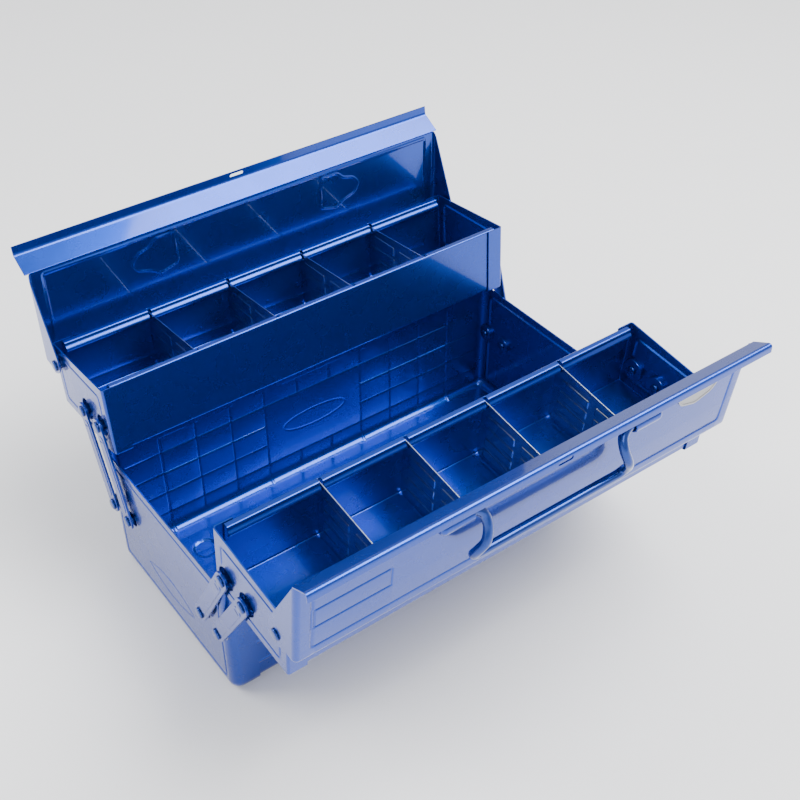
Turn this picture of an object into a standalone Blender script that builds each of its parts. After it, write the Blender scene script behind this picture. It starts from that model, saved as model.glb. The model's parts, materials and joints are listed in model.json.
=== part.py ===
"""Two-tray cantilever toolbox, standing open.

A pressed base carries two trays on pairs of parallel links.  Each tray has a
lid hinged near its outer wall, a carrying handle on the lid and four lift-out
dividers.  X runs along the box, -Y is the front, +Y the rear and Z is up.  The
origin is under the middle of the base, on the surface the box stands on.

Each side is built once, outward along +Y, under an empty; the front side's
empty is turned half round, so both sides are the same parts.
"""
import math

import bmesh
import bpy
from mathutils import Matrix, Vector

MM = 0.001

# Sheet and fits
SHEET = 1.0 * MM
FIT_GAP = 0.3 * MM
SKIN_STEP = SHEET + FIT_GAP

# Base box
BOX_LENGTH = 352.0 * MM
BASE_DEPTH = 168.0 * MM
BASE_HEIGHT = 105.3 * MM
BASE_FOLD_RADIUS = 9.5 * MM
BASE_CORNER_RADIUS = 8.0 * MM
BASE_CAP_DEPTH = 20.0 * MM
BASE_HEM_WIDTH = 5.0 * MM
BASE_HEM_DROP = 6.0 * MM
FOOT_RADIUS = 9.0 * MM
FOOT_SPACING_X = 250.0 * MM
FOOT_SPACING_Y = 96.0 * MM
FLOOR_PANEL = (120.0 * MM, 50.0 * MM)

# Trays
TRAY_DEPTH = 83.5 * MM
TRAY_INNER_HEIGHT = 56.5 * MM
TRAY_OUTER_HEIGHT = 52.5 * MM
TRAY_FOLD_RADIUS = 2.0 * MM
TRAY_CORNER_RADIUS = 6.5 * MM
TRAY_CAP_DEPTH = 14.0 * MM
TRAY_HEM_WIDTH = 5.0 * MM
TRAY_HEM_DROP = 7.0 * MM
TRAY_SHUT_Y = 0.5 * MM
TRAY_SHUT_Z = 106.0 * MM

# Dividers
DIVIDER_THICKNESS = 0.8 * MM
DIVIDER_SLIT = 1.7 * MM
DIVIDER_DROP = 2.0 * MM
DIVIDER_PLACES = (-101.0 * MM, -33.5 * MM, 33.5 * MM, 101.0 * MM)

# Links: pivots on the base, measured out from the middle, and on the tray
BASE_PIVOT_Z = 60.0 * MM
BASE_PIVOT_Y = {"outer": 75.5 * MM, "inner": 53.0 * MM}
TRAY_PIVOT_Z = 20.3 * MM
TRAY_PIVOT_Y = {"outer": 37.4 * MM, "inner": 13.2 * MM}
LINK_WIDTH = 13.0 * MM
LINK_THICKNESS = 1.6 * MM
LINK_X = 178.4 * MM
BASE_DISH_RADIUS = 6.0 * MM
TRAY_DISH_RADIUS = 8.0 * MM
DISH_DEPTH = 3.2 * MM
RIVET_RADIUS = 2.2 * MM
RIVET_HOLE_RADIUS = 2.5 * MM
RIVET_HEAD_RADIUS = 4.2 * MM
RIVET_HEAD = 1.6 * MM
RIVET_SHOULDER_RADIUS = 3.6 * MM
OPEN_PIVOT_HOLE_RADIUS = 2.8 * MM

# How far each side stands open: swing of the outer links from shut, and the
# tilt that the inner links then give the tray
SWING = {"front": math.radians(62.0), "rear": math.radians(49.0)}
TILT_PER_SWING = 0.0755

# Lids, in the plane across the hinge: "reach" runs from the pivot towards the
# lip and "rise" is square to the panel, away from the tray
LID_PIVOT_Y = 76.5 * MM
LID_PIVOT_Z = 38.0 * MM
LID_PANEL_RISE = 20.2 * MM
LID_EDGE_REACH = -8.4 * MM
LID_FOLD_REACH = 67.5 * MM
LID_HALF_LENGTH = 179.5 * MM
LID_LIP_HALF_LENGTH = 181.0 * MM
LID_CORNER_RADIUS = 8.0 * MM
LID_OPEN = {"front": math.radians(91.5), "rear": math.radians(86.0)}
LID_PIVOT_HOLE_RADIUS = 2.3 * MM
LID_PIVOT_RADIUS = 2.0 * MM
WING_OUTLINE = (
    (LID_EDGE_REACH, LID_PANEL_RISE),
    (LID_EDGE_REACH, 3.0 * MM),
    (-4.5 * MM, -5.0 * MM),
    (2.0 * MM, -8.5 * MM),
    (9.0 * MM, -6.8 * MM),
    (LID_FOLD_REACH, 13.4 * MM),
    (LID_FOLD_REACH, LID_PANEL_RISE),
)
# The wings taper along this slope, from beside the pivot to just under the fold
WING_SLOPE = ((9.0 * MM, -6.8 * MM), (66.5 * MM, 18.6 * MM))
LIP_PATHS = {
    "front": ((75.8 * MM, 32.6 * MM), (69.2 * MM, 33.4 * MM)),
    "rear": ((75.8 * MM, 35.6 * MM), (83.0 * MM, 36.4 * MM)),
}
PADLOCK_SLOT = (12.0 * MM, 3.0 * MM)
PADLOCK_REACH = {"front": 72.6 * MM, "rear": 80.0 * MM}

# Carrying handle, measured from the axis of its two sleeves
HANDLE_REACH = 60.0 * MM
HANDLE_RISE = 26.4 * MM
HANDLE_ROD_RADIUS = 3.5 * MM
SLEEVE_RADIUS = 5.2 * MM
SLEEVE_BORE_RADIUS = 3.9 * MM
SLEEVE_INNER_X = 64.0 * MM
SLEEVE_OUTER_X = 88.0 * MM
BRACKET_TAB_X = 108.0 * MM
BRACKET_PLATE = 1.2 * MM
BRACKET_WIDTH = 10.0 * MM
ROD_END_X = 84.0 * MM
# Half of the handle's centre line: along the box, out from the lid, and down
HANDLE_HALF = (
    (0.0, 0.0, 38.5 * MM),
    (46.0 * MM, 0.0, 38.5 * MM),
    (57.0 * MM, 0.3 * MM, 38.0 * MM),
    (61.5 * MM, 1.6 * MM, 35.0 * MM),
    (61.0 * MM, 5.0 * MM, 29.0 * MM),
    (57.5 * MM, 7.5 * MM, 21.5 * MM),
    (54.8 * MM, 5.5 * MM, 12.5 * MM),
    (55.5 * MM, 2.2 * MM, 5.0 * MM),
    (59.5 * MM, 0.4 * MM, 1.0 * MM),
    (64.5 * MM, 0.0, 0.0),
    (ROD_END_X, 0.0, 0.0),
)

BADGE_X = 133.0 * MM
BADGE_REACH = 48.0 * MM
BADGE_SIZE = (40.0 * MM, 21.0 * MM)
BADGE_THICKNESS = 0.8 * MM


def clear_scene():
    """Remove everything that an opened file may hold."""
    for item in list(bpy.data.objects):
        bpy.data.objects.remove(item, do_unlink=True)


def painted(name, colour, roughness, metallic):
    """A plain Principled material."""
    material = bpy.data.materials.new(name)
    material.use_nodes = True
    shader = material.node_tree.nodes["Principled BSDF"]
    shader.inputs["Base Color"].default_value = (*colour, 1.0)
    shader.inputs["Roughness"].default_value = roughness
    shader.inputs["Metallic"].default_value = metallic
    material.diffuse_color = (*colour, 1.0)
    return material


def blue_paint(name):
    """Glossy metallic blue, as on all the pressed sheet."""
    return painted(name, (0.02, 0.14, 0.52), 0.25, 0.6)


def dark_paint(name):
    """The same paint in its deeper shade, as on the handles and rivets."""
    return painted(name, (0.012, 0.09, 0.34), 0.25, 0.6)


def zinc_plate(name):
    """Bare plated sheet, as on the dividers."""
    return painted(name, (0.5, 0.56, 0.66), 0.35, 0.95)


def silver_plate(name):
    """Satin silver, as on the badge."""
    return painted(name, (0.62, 0.6, 0.6), 0.4, 0.8)


def empty(name, parent=None, location=(0, 0, 0), turn_x=0.0, turn_z=0.0):
    """A frame that parts are placed in."""
    item = bpy.data.objects.new(name, None)
    item.empty_display_size = 0.02
    item.parent = parent
    item.location = location
    item.rotation_euler = (turn_x, 0.0, turn_z)
    bpy.context.collection.objects.link(item)
    return item


def placed(name, data, parent, material, location=(0, 0, 0)):
    """A named part in a parent frame, with its own material."""
    item = bpy.data.objects.new(name, data)
    item.parent = parent
    item.location = location
    if material is not None:
        data.materials.append(material(name + "_paint"))
    bpy.context.collection.objects.link(item)
    return item


def finished_mesh(name, shape, smooth_angle=None):
    """Turn a bmesh into a mesh with its faces pointing out."""
    bmesh.ops.recalc_face_normals(shape, faces=shape.faces)
    mesh = bpy.data.meshes.new(name)
    shape.to_mesh(mesh)
    shape.free()
    if smooth_angle is not None:
        mesh.shade_smooth()
        mesh.set_sharp_from_angle(angle=math.radians(smooth_angle))
    return mesh


def thicken(item, thickness=SHEET, offset=-1.0):
    """Give a sheet surface its thickness, behind its faces."""
    solid = item.modifiers.new("thickness", "SOLIDIFY")
    solid.thickness = thickness
    solid.offset = offset
    solid.use_even_offset = True
    return solid


def boolean(item, tool, operation="DIFFERENCE"):
    """Cut or join with a hidden tool shape that moves with the part."""
    tool.hide_render = True
    tool.display_type = "WIRE"
    tool.parent = item
    step = item.modifiers.new(operation.lower(), "BOOLEAN")
    step.operation = operation
    step.solver = "EXACT"
    step.object = tool


def add_cylinder_x(shape, radius, start, end, y, z, sides=14):
    """Add a closed cylinder along X to a bmesh."""
    middle = Matrix.Translation((0.5 * (start + end), y, z)) @ Matrix.Rotation(math.pi / 2, 4, "Y")
    bmesh.ops.create_cone(
        shape, cap_ends=True, segments=sides, radius1=radius, radius2=radius,
        depth=abs(end - start), matrix=middle)


def add_box(shape, low, high):
    """Add a closed box to a bmesh."""
    size = [high[k] - low[k] for k in range(3)]
    middle = [0.5 * (high[k] + low[k]) for k in range(3)]
    bmesh.ops.create_cube(
        shape, size=1.0, matrix=Matrix.Translation(middle) @ Matrix.Diagonal((*size, 1.0)))


def tool_object(name, shape):
    """A hidden shape for a Boolean."""
    item = bpy.data.objects.new(name, finished_mesh(name, shape))
    bpy.context.collection.objects.link(item)
    return item


def arc(centre, radius, start, end, steps):
    """Points on an arc, with angles in degrees."""
    points = []
    for k in range(steps + 1):
        angle = math.radians(start + (end - start) * k / steps)
        points.append((centre[0] + radius * math.cos(angle), centre[1] + radius * math.sin(angle)))
    return points


def trough_outline(low_y, high_y, low_z, left_top, right_top, radius, steps):
    """A trough's outline across X, from its left rim down, along and up."""
    left = arc((low_y + radius, low_z + radius), radius, 180.0, 270.0, steps)
    right = arc((high_y - radius, low_z + radius), radius, 270.0, 360.0, steps)
    return [(low_y, left_top)] + left + right + [(high_y, right_top)]


def sheet_along_x(points, half_length):
    """A surface that carries an open outline along X."""
    shape = bmesh.new()
    rows = []
    for side in (-1.0, 1.0):
        rows.append([shape.verts.new((side * half_length, y, z)) for y, z in points])
    for k in range(len(points) - 1):
        shape.faces.new((rows[0][k], rows[0][k + 1], rows[1][k + 1], rows[1][k]))
    return shape


def pan(outline, corner_radius, depth, segments):
    """A pressed end pan: a closed end at x = 0 and walls that run back to x = -depth.

    The outline is open at the top, so its first and last points are the rims.
    """
    shape = bmesh.new()
    outer = [shape.verts.new((0.0, y, z)) for y, z in outline]
    inner = [shape.verts.new((-depth, y, z)) for y, z in outline]
    end_face = shape.faces.new(outer)
    for k in range(len(outline) - 1):
        shape.faces.new((outer[k], inner[k], inner[k + 1], outer[k + 1]))
    top = {outer[0], outer[-1]}
    rim_edges = [edge for edge in end_face.edges if set(edge.verts) != top]
    bmesh.ops.recalc_face_normals(shape, faces=shape.faces)
    bmesh.ops.bevel(
        shape, geom=rim_edges, offset=corner_radius, offset_type="OFFSET", affect="EDGES",
        segments=segments, profile=0.5, material=-1, clamp_overlap=True)
    if end_normal_x(shape) < 0.0:
        bmesh.ops.reverse_faces(shape, faces=shape.faces)
    return shape


def end_normal_x(shape):
    """The X part of the normal of a pan's largest face."""
    shape.normal_update()
    largest = max(shape.faces, key=lambda face: face.calc_area())
    return largest.normal.x


def surface_mesh(name, shape, smooth_angle=30.0):
    """Turn an open surface into a mesh and keep the way its faces point."""
    mesh = bpy.data.meshes.new(name)
    shape.to_mesh(mesh)
    shape.free()
    mesh.shade_smooth()
    mesh.set_sharp_from_angle(angle=math.radians(smooth_angle))
    return mesh


def mirrored(shape):
    """Mirror a bmesh in X, with its faces turned back to point out."""
    bmesh.ops.scale(shape, vec=(-1.0, 1.0, 1.0), verts=shape.verts)
    bmesh.ops.reverse_faces(shape, faces=shape.faces)
    return shape


def end_cap(name, parent, outline, corner_radius, depth, side, dish_radius, dishes, holes):
    """One pressed end with round dishes and rivet holes at its pivots."""
    shape = pan(outline, corner_radius, depth, 3)
    if side < 0:
        mirrored(shape)
    item = placed(name, surface_mesh(name, shape), parent, blue_paint, (side * BOX_LENGTH / 2, 0, 0))
    thicken(item)
    cups = bmesh.new()
    recesses = bmesh.new()
    for y, z in dishes:
        cup_floor = -side * (DISH_DEPTH + SHEET)
        add_cylinder_x(cups, dish_radius + SHEET, -side * 0.4 * SHEET, cup_floor, y, z)
        add_cylinder_x(recesses, dish_radius, side * 2.0 * SHEET, -side * DISH_DEPTH, y, z)
    boolean(item, tool_object(name + "_cups", cups), "UNION")
    boolean(item, tool_object(name + "_recesses", recesses))
    bores = bmesh.new()
    for y, z, radius in holes:
        add_cylinder_x(bores, radius, side * 8.0 * SHEET, -side * 8.0 * SHEET, y, z, 12)
    boolean(item, tool_object(name + "_bores", bores))
    return item


def base_outline(inset):
    """The base's trough across X, inside its outer faces by an inset."""
    half = BASE_DEPTH / 2 - inset
    return trough_outline(
        -half, half, inset, BASE_HEIGHT, BASE_HEIGHT, BASE_FOLD_RADIUS - inset, 5)


def base_shell():
    """Front wall, floor and back wall in one bent sheet, hemmed inwards, on pressed feet.

    A panel pressed down in the middle of the floor stands level with the feet.
    """
    trough = base_outline(SKIN_STEP)
    left, right = trough[0], trough[-1]
    hem_z = BASE_HEIGHT - BASE_HEM_DROP
    points = [(left[0] + BASE_HEM_WIDTH, hem_z), (left[0] + BASE_HEM_WIDTH, BASE_HEIGHT)]
    points += trough
    points += [(right[0] - BASE_HEM_WIDTH, BASE_HEIGHT), (right[0] - BASE_HEM_WIDTH, hem_z)]
    half_length = BOX_LENGTH / 2 - BASE_CORNER_RADIUS - 2 * FIT_GAP
    shape = sheet_along_x(points, half_length)
    item = placed("base_shell", surface_mesh("base_shell", shape), None, blue_paint)
    thicken(item, offset=facing_offset(item))
    feet = bmesh.new()
    for x in (-FOOT_SPACING_X / 2, FOOT_SPACING_X / 2):
        for y in (-FOOT_SPACING_Y / 2, FOOT_SPACING_Y / 2):
            height = SKIN_STEP + 0.5 * SHEET
            bmesh.ops.create_cone(
                feet, cap_ends=True, segments=16, radius1=FOOT_RADIUS - SHEET,
                radius2=FOOT_RADIUS, depth=height, matrix=Matrix.Translation((x, y, height / 2)))
    panel_x, panel_y = FLOOR_PANEL
    add_box(feet, (-panel_x / 2, -panel_y / 2, 0.0),
            (panel_x / 2, panel_y / 2, SKIN_STEP + 0.5 * SHEET))
    boolean(item, tool_object("base_shell_feet", feet), "UNION")


def facing_offset(item):
    """-1 where the sheet's faces point out of the trough, or 1 where they point in."""
    lowest = min(item.data.polygons, key=lambda face: face.center.z)
    return -1.0 if lowest.normal.z < 0.0 else 1.0


def base_ends():
    """The two pressed ends of the base, with the four link pivots on each."""
    pivots = []
    for role in ("outer", "inner"):
        for side_y in (-1, 1):
            pivots.append((side_y * BASE_PIVOT_Y[role], BASE_PIVOT_Z))
    holes = [(y, z, RIVET_HOLE_RADIUS) for y, z in pivots]
    for word, side in (("left", -1), ("right", 1)):
        end_cap("base_end_" + word, None, base_outline(0.0), BASE_CORNER_RADIUS,
                BASE_CAP_DEPTH, side, BASE_DISH_RADIUS, pivots, holes)


def tray_outline(inset):
    """A tray's trough across X, from the inner wall to the outer wall."""
    return trough_outline(
        inset, TRAY_DEPTH - inset, inset, TRAY_INNER_HEIGHT, TRAY_OUTER_HEIGHT,
        TRAY_FOLD_RADIUS, 2)


def tray_shell(side, frame):
    """The tray's walls and floor, hemmed inwards and slit for the dividers."""
    trough = tray_outline(SKIN_STEP)
    inner, outer = trough[0], trough[-1]
    inner_hem = inner[0] + TRAY_HEM_WIDTH
    outer_hem = outer[0] - TRAY_HEM_WIDTH
    points = [(inner_hem, inner[1] - TRAY_HEM_DROP), (inner_hem, inner[1])]
    points += trough
    points += [(outer_hem, outer[1]), (outer_hem, outer[1] - TRAY_HEM_DROP)]
    half_length = BOX_LENGTH / 2 - TRAY_CORNER_RADIUS - 2 * FIT_GAP
    name = side + "_tray_shell"
    shape = sheet_along_x(points, half_length)
    item = placed(name, surface_mesh(name, shape), frame, blue_paint)
    thicken(item, offset=facing_offset(item))
    slits = bmesh.new()
    for x in DIVIDER_PLACES:
        for low_y, high_y, top in (
                (inner[0] + SHEET + FIT_GAP / 2, inner_hem + 2 * SHEET, inner[1]),
                (outer_hem - 2 * SHEET, outer[0] - SHEET - FIT_GAP / 2, outer[1])):
            add_box(slits, (x - DIVIDER_SLIT / 2, low_y, top - TRAY_HEM_DROP - SHEET),
                    (x + DIVIDER_SLIT / 2, high_y, top + 2 * SHEET))
    boolean(item, tool_object(name + "_slits", slits))


def tray_ends(side, frame):
    """The tray's two pressed ends, with two link pivots and a lid pivot on each."""
    pivots = [(TRAY_PIVOT_Y[role], TRAY_PIVOT_Z) for role in ("outer", "inner")]
    holes = [(y, z, RIVET_HOLE_RADIUS) for y, z in pivots]
    holes.append((LID_PIVOT_Y, LID_PIVOT_Z, LID_PIVOT_HOLE_RADIUS))
    for word, end in ends(side):
        end_cap(side + "_tray_end_" + word, frame, tray_outline(0.0), TRAY_CORNER_RADIUS,
                TRAY_CAP_DEPTH, end, TRAY_DISH_RADIUS, pivots, holes)


def ends(side):
    """World names of a side's two ends, with the sign of X in that side's frame."""
    turned = -1 if side == "front" else 1
    return (("left", -turned), ("right", turned))


def dividers(side, frame):
    """Four thin plated sheets that drop into the slits."""
    low = SKIN_STEP + SHEET + FIT_GAP
    high = TRAY_DEPTH - low
    corner = 3.0 * MM
    outline = [
        (low + corner, low), (high - corner, low), (high, low + corner),
        (high, TRAY_OUTER_HEIGHT - DIVIDER_DROP), (low, TRAY_INNER_HEIGHT - DIVIDER_DROP),
        (low, low + corner)]
    for number, x in enumerate(divider_order(side), start=1):
        shape = bmesh.new()
        lower = [shape.verts.new((-DIVIDER_THICKNESS / 2, y, z)) for y, z in outline]
        face = shape.faces.new(lower)
        grown = bmesh.ops.extrude_face_region(shape, geom=[face], use_keep_orig=True)
        moved = [part for part in grown["geom"] if isinstance(part, bmesh.types.BMVert)]
        bmesh.ops.translate(shape, vec=(DIVIDER_THICKNESS, 0, 0), verts=moved)
        name = "%s_divider_%d" % (side, number)
        placed(name, finished_mesh(name, shape), frame, zinc_plate, (x, 0, 0))


def divider_order(side):
    """Divider places in the side's own frame, so that number 1 is at the left."""
    return reversed(DIVIDER_PLACES) if side == "front" else DIVIDER_PLACES


def turned_x(profile, sides=8):
    """A turned piece about X from (x, radius) points that start and end on the axis."""
    shape = bmesh.new()
    verts = [shape.verts.new((x, 0.0, radius)) for x, radius in profile]
    edges = [shape.edges.new(pair) for pair in zip(verts, verts[1:])]
    bmesh.ops.spin(
        shape, geom=verts + edges, cent=(0, 0, 0), axis=(1, 0, 0), dvec=(0, 0, 0),
        angle=2 * math.pi, steps=sides, use_merge=True, use_duplicate=False)
    bmesh.ops.remove_doubles(shape, verts=shape.verts, dist=1e-6)
    return shape


def link_rivet_profile():
    """Shouldered rivet: peened head in the dish, shoulder, shank and outer head."""
    dish_floor = BOX_LENGTH / 2 - DISH_DEPTH
    back = dish_floor - SHEET - FIT_GAP
    link_out = LINK_X + LINK_THICKNESS + FIT_GAP
    return (
        (back - RIVET_HEAD, 0.0),
        (back - RIVET_HEAD, RIVET_HEAD_RADIUS - 0.6 * MM),
        (back, RIVET_HEAD_RADIUS - 0.6 * MM),
        (back, RIVET_RADIUS),
        (dish_floor + FIT_GAP, RIVET_RADIUS),
        (dish_floor + FIT_GAP, RIVET_SHOULDER_RADIUS),
        (LINK_X - FIT_GAP, RIVET_SHOULDER_RADIUS),
        (LINK_X - FIT_GAP, RIVET_RADIUS),
        (link_out, RIVET_RADIUS),
        (link_out, RIVET_HEAD_RADIUS),
        (link_out + 0.6 * RIVET_HEAD, RIVET_HEAD_RADIUS),
        (link_out + RIVET_HEAD, 0.6 * RIVET_HEAD_RADIUS),
        (link_out + RIVET_HEAD, 0.0))


def lid_rivet_profile():
    """Rivet that holds a lid's wing clear of the tray's end."""
    plate = BOX_LENGTH / 2
    wing = LID_HALF_LENGTH
    return (
        (plate - 1.8 * SHEET, 0.0),
        (plate - 1.8 * SHEET, LID_PIVOT_RADIUS),
        (plate + FIT_GAP, LID_PIVOT_RADIUS),
        (plate + FIT_GAP, RIVET_SHOULDER_RADIUS),
        (wing - SHEET - FIT_GAP, RIVET_SHOULDER_RADIUS),
        (wing - SHEET - FIT_GAP, LID_PIVOT_RADIUS),
        (wing + FIT_GAP, LID_PIVOT_RADIUS),
        (wing + FIT_GAP, RIVET_HEAD_RADIUS),
        (wing + FIT_GAP + RIVET_HEAD, 0.6 * RIVET_HEAD_RADIUS),
        (wing + FIT_GAP + RIVET_HEAD, 0.0))


def rivet(name, frame, profile, end, y, z):
    """One rivet on an end of the box."""
    shape = turned_x([(end * x, radius) for x, radius in profile])
    placed(name, finished_mesh(name, shape, 40.0), frame, dark_paint, (0, y, z))


def link_rivets(side, side_frame, tray_frame):
    """The rivets at both ends of a side's four links."""
    for word, end in ends(side):
        for role in ("outer", "inner"):
            stem = "%s_%s_link_%s" % (side, role, word)
            rivet(stem + "_base_rivet", side_frame, link_rivet_profile(), end,
                  BASE_PIVOT_Y[role], BASE_PIVOT_Z)
            rivet(stem + "_tray_rivet", tray_frame, link_rivet_profile(), end,
                  TRAY_PIVOT_Y[role], TRAY_PIVOT_Z)


def link(name, frame, end, length, far_hole):
    """A flat link from the origin up Z, round at both ends."""
    radius = LINK_WIDTH / 2
    outline = arc((0.0, 0.0), radius, 180.0, 360.0, 6) + arc((0.0, length), radius, 0.0, 180.0, 6)
    shape = bmesh.new()
    face = shape.faces.new([shape.verts.new((end * LINK_X, y, z)) for y, z in outline])
    grown = bmesh.ops.extrude_face_region(shape, geom=[face], use_keep_orig=True)
    moved = [part for part in grown["geom"] if isinstance(part, bmesh.types.BMVert)]
    bmesh.ops.translate(shape, vec=(end * LINK_THICKNESS, 0, 0), verts=moved)
    item = placed(name, finished_mesh(name, shape, 30.0), frame, blue_paint)
    bores = bmesh.new()
    for z, hole in ((0.0, RIVET_HOLE_RADIUS), (length, far_hole)):
        add_cylinder_x(bores, hole, end * (LINK_X - SHEET), end * (LINK_X + 3 * SHEET), 0.0, z, 12)
    boolean(item, tool_object(name + "_bores", bores))


def shut_link(role):
    """Length of a link, and its lean outwards, with the tray shut."""
    out = TRAY_SHUT_Y + TRAY_PIVOT_Y[role] - BASE_PIVOT_Y[role]
    up = TRAY_SHUT_Z + TRAY_PIVOT_Z - BASE_PIVOT_Z
    return math.hypot(out, up), math.atan2(out, up)


def in_tray(place, tilt, y, z):
    """A tray point in its side's frame, for a tray that stands at a place with a tilt."""
    return (place[0] + y * math.cos(tilt) + z * math.sin(tilt),
            place[1] - y * math.sin(tilt) + z * math.cos(tilt))


def tray_place(swing):
    """Where the tray's inner bottom edge stands, and its tilt, for a swing of the links."""
    length, lean = shut_link("outer")
    tilt = TILT_PER_SWING * swing
    pivot = (BASE_PIVOT_Y["outer"] + length * math.sin(lean + swing),
             BASE_PIVOT_Z + length * math.cos(lean + swing))
    offset = in_tray((0.0, 0.0), tilt, TRAY_PIVOT_Y["outer"], TRAY_PIVOT_Z)
    return (pivot[0] - offset[0], pivot[1] - offset[1]), tilt


def links(side, side_frame, place, tilt):
    """A side's two outer and two inner links, on frames at their base pivots."""
    for role in ("outer", "inner"):
        length = shut_link(role)[0]
        far = in_tray(place, tilt, TRAY_PIVOT_Y[role], TRAY_PIVOT_Z)
        lean = math.atan2(far[0] - BASE_PIVOT_Y[role], far[1] - BASE_PIVOT_Z)
        frame = empty("%s_%s_link_frame" % (side, role), side_frame,
                      (0, BASE_PIVOT_Y[role], BASE_PIVOT_Z), turn_x=-lean)
        far_hole = RIVET_HOLE_RADIUS if role == "outer" else OPEN_PIVOT_HOLE_RADIUS
        for word, end in ends(side):
            link("%s_%s_link_%s" % (side, role, word), frame, end, length, far_hole)


def lid_surface(lip_path):
    """The lid's outer surface: panel, turned-down edge, wings, round ends and lip."""
    shape = bmesh.new()
    rows = {}
    for end in (-1, 1):
        rows[end] = [shape.verts.new((end * LID_HALF_LENGTH, -reach, rise)) for reach, rise in WING_OUTLINE]
    last = len(WING_OUTLINE) - 1
    wings = [shape.faces.new(rows[-1]), shape.faces.new(rows[1])]
    shape.faces.new((rows[-1][0], rows[-1][last], rows[1][last], rows[1][0]))
    edge_face = shape.faces.new((rows[-1][0], rows[-1][1], rows[1][1], rows[1][0]))
    bmesh.ops.recalc_face_normals(shape, faces=shape.faces)
    corner_edges = []
    for edge in shape.edges:
        ends_of_edge = {edge.verts[0], edge.verts[1]}
        for end in (-1, 1):
            if ends_of_edge in ({rows[end][0], rows[end][last]}, {rows[end][0], rows[end][1]}):
                corner_edges.append(edge)
    long_edge = [e for e in edge_face.edges if {*e.verts} == {rows[-1][0], rows[1][0]}]
    bmesh.ops.bevel(
        shape, geom=corner_edges + long_edge, offset=LID_CORNER_RADIUS * 0.8, offset_type="OFFSET",
        affect="EDGES", segments=3, profile=0.5, material=-1, clamp_overlap=True)
    trim_outer_edge(shape)
    taper_wings(shape)
    add_lip(shape, lip_path)
    bmesh.ops.recalc_face_normals(shape, faces=shape.faces)
    return shape


def trim_outer_edge(shape):
    """Keep only a short turned-down edge along the panel, and leave the wings whole."""
    cut_rise = LID_PANEL_RISE - LID_CORNER_RADIUS
    low_faces = [
        face for face in shape.faces
        if abs(face.normal.y) > 0.7 and face.calc_center_median().z < cut_rise
        and max(v.co.x for v in face.verts) - min(v.co.x for v in face.verts) > LID_HALF_LENGTH]
    for face in low_faces:
        for vert in face.verts:
            if vert.co.z < cut_rise and abs(vert.co.x) < LID_HALF_LENGTH - 0.1 * MM:
                vert.co.z = cut_rise


def taper_wings(shape):
    """Cut both wings, and the round ends, along the wings' slope."""
    (low_reach, low_rise), (high_reach, high_rise) = WING_SLOPE
    along = Vector((0.0, low_reach - high_reach, high_rise - low_rise)).normalized()
    away = Vector((0.0, -along.z, along.y))
    geometry = shape.verts[:] + shape.edges[:] + shape.faces[:]
    bmesh.ops.bisect_plane(
        shape, geom=geometry, dist=1e-7, plane_co=(0.0, -low_reach, low_rise), plane_no=away,
        clear_outer=True)


def add_lip(shape, lip_path):
    """Fold the lip up from the panel's inner edge; it runs past the round ends."""
    fold = [v for v in shape.verts
            if abs(v.co.y + LID_FOLD_REACH) < 0.1 * MM and abs(v.co.z - LID_PANEL_RISE) < 0.1 * MM]
    left = min(fold, key=lambda v: v.co.x)
    right = max(fold, key=lambda v: v.co.x)
    tip = lip_path[0]
    start = (LID_FOLD_REACH + 0.06 * (tip[0] - LID_FOLD_REACH),
             LID_PANEL_RISE + 0.06 * (tip[1] - LID_PANEL_RISE))
    previous = (left, right)
    for reach, rise in (start,) + tuple(lip_path):
        row = [shape.verts.new((end * LID_LIP_HALF_LENGTH, -reach, rise)) for end in (-1, 1)]
        shape.faces.new((previous[0], previous[1], row[1], row[0]))
        previous = row


def lid(side, frame):
    """One pressed lid with its rivet holes and its padlock slot."""
    name = side + "_lid"
    shape = lid_surface(LIP_PATHS[side])
    item = placed(name, surface_mesh(name, shape), frame, blue_paint)
    thicken(item, offset=-1.0 if panel_points_up(item) else 1.0)
    cuts = bmesh.new()
    for end in (-1, 1):
        add_cylinder_x(cuts, LID_PIVOT_HOLE_RADIUS, end * (LID_HALF_LENGTH - 3 * SHEET),
                       end * (LID_HALF_LENGTH + 2 * SHEET), 0.0, 0.0, 12)
    slot_x, slot_y = PADLOCK_SLOT
    reach = PADLOCK_REACH[side]
    rise = LIP_PATHS[side][1][1]
    add_box(cuts, (-slot_x / 2, -reach - slot_y / 2, rise - 3.2 * SHEET),
            (slot_x / 2, -reach + slot_y / 2, rise + 3 * SHEET))
    boolean(item, tool_object(name + "_cuts", cuts))


def panel_points_up(item):
    """True if the lid panel's normal points away from the tray."""
    largest = max(item.data.polygons, key=lambda face: face.area)
    return largest.normal.z > 0.0


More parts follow.
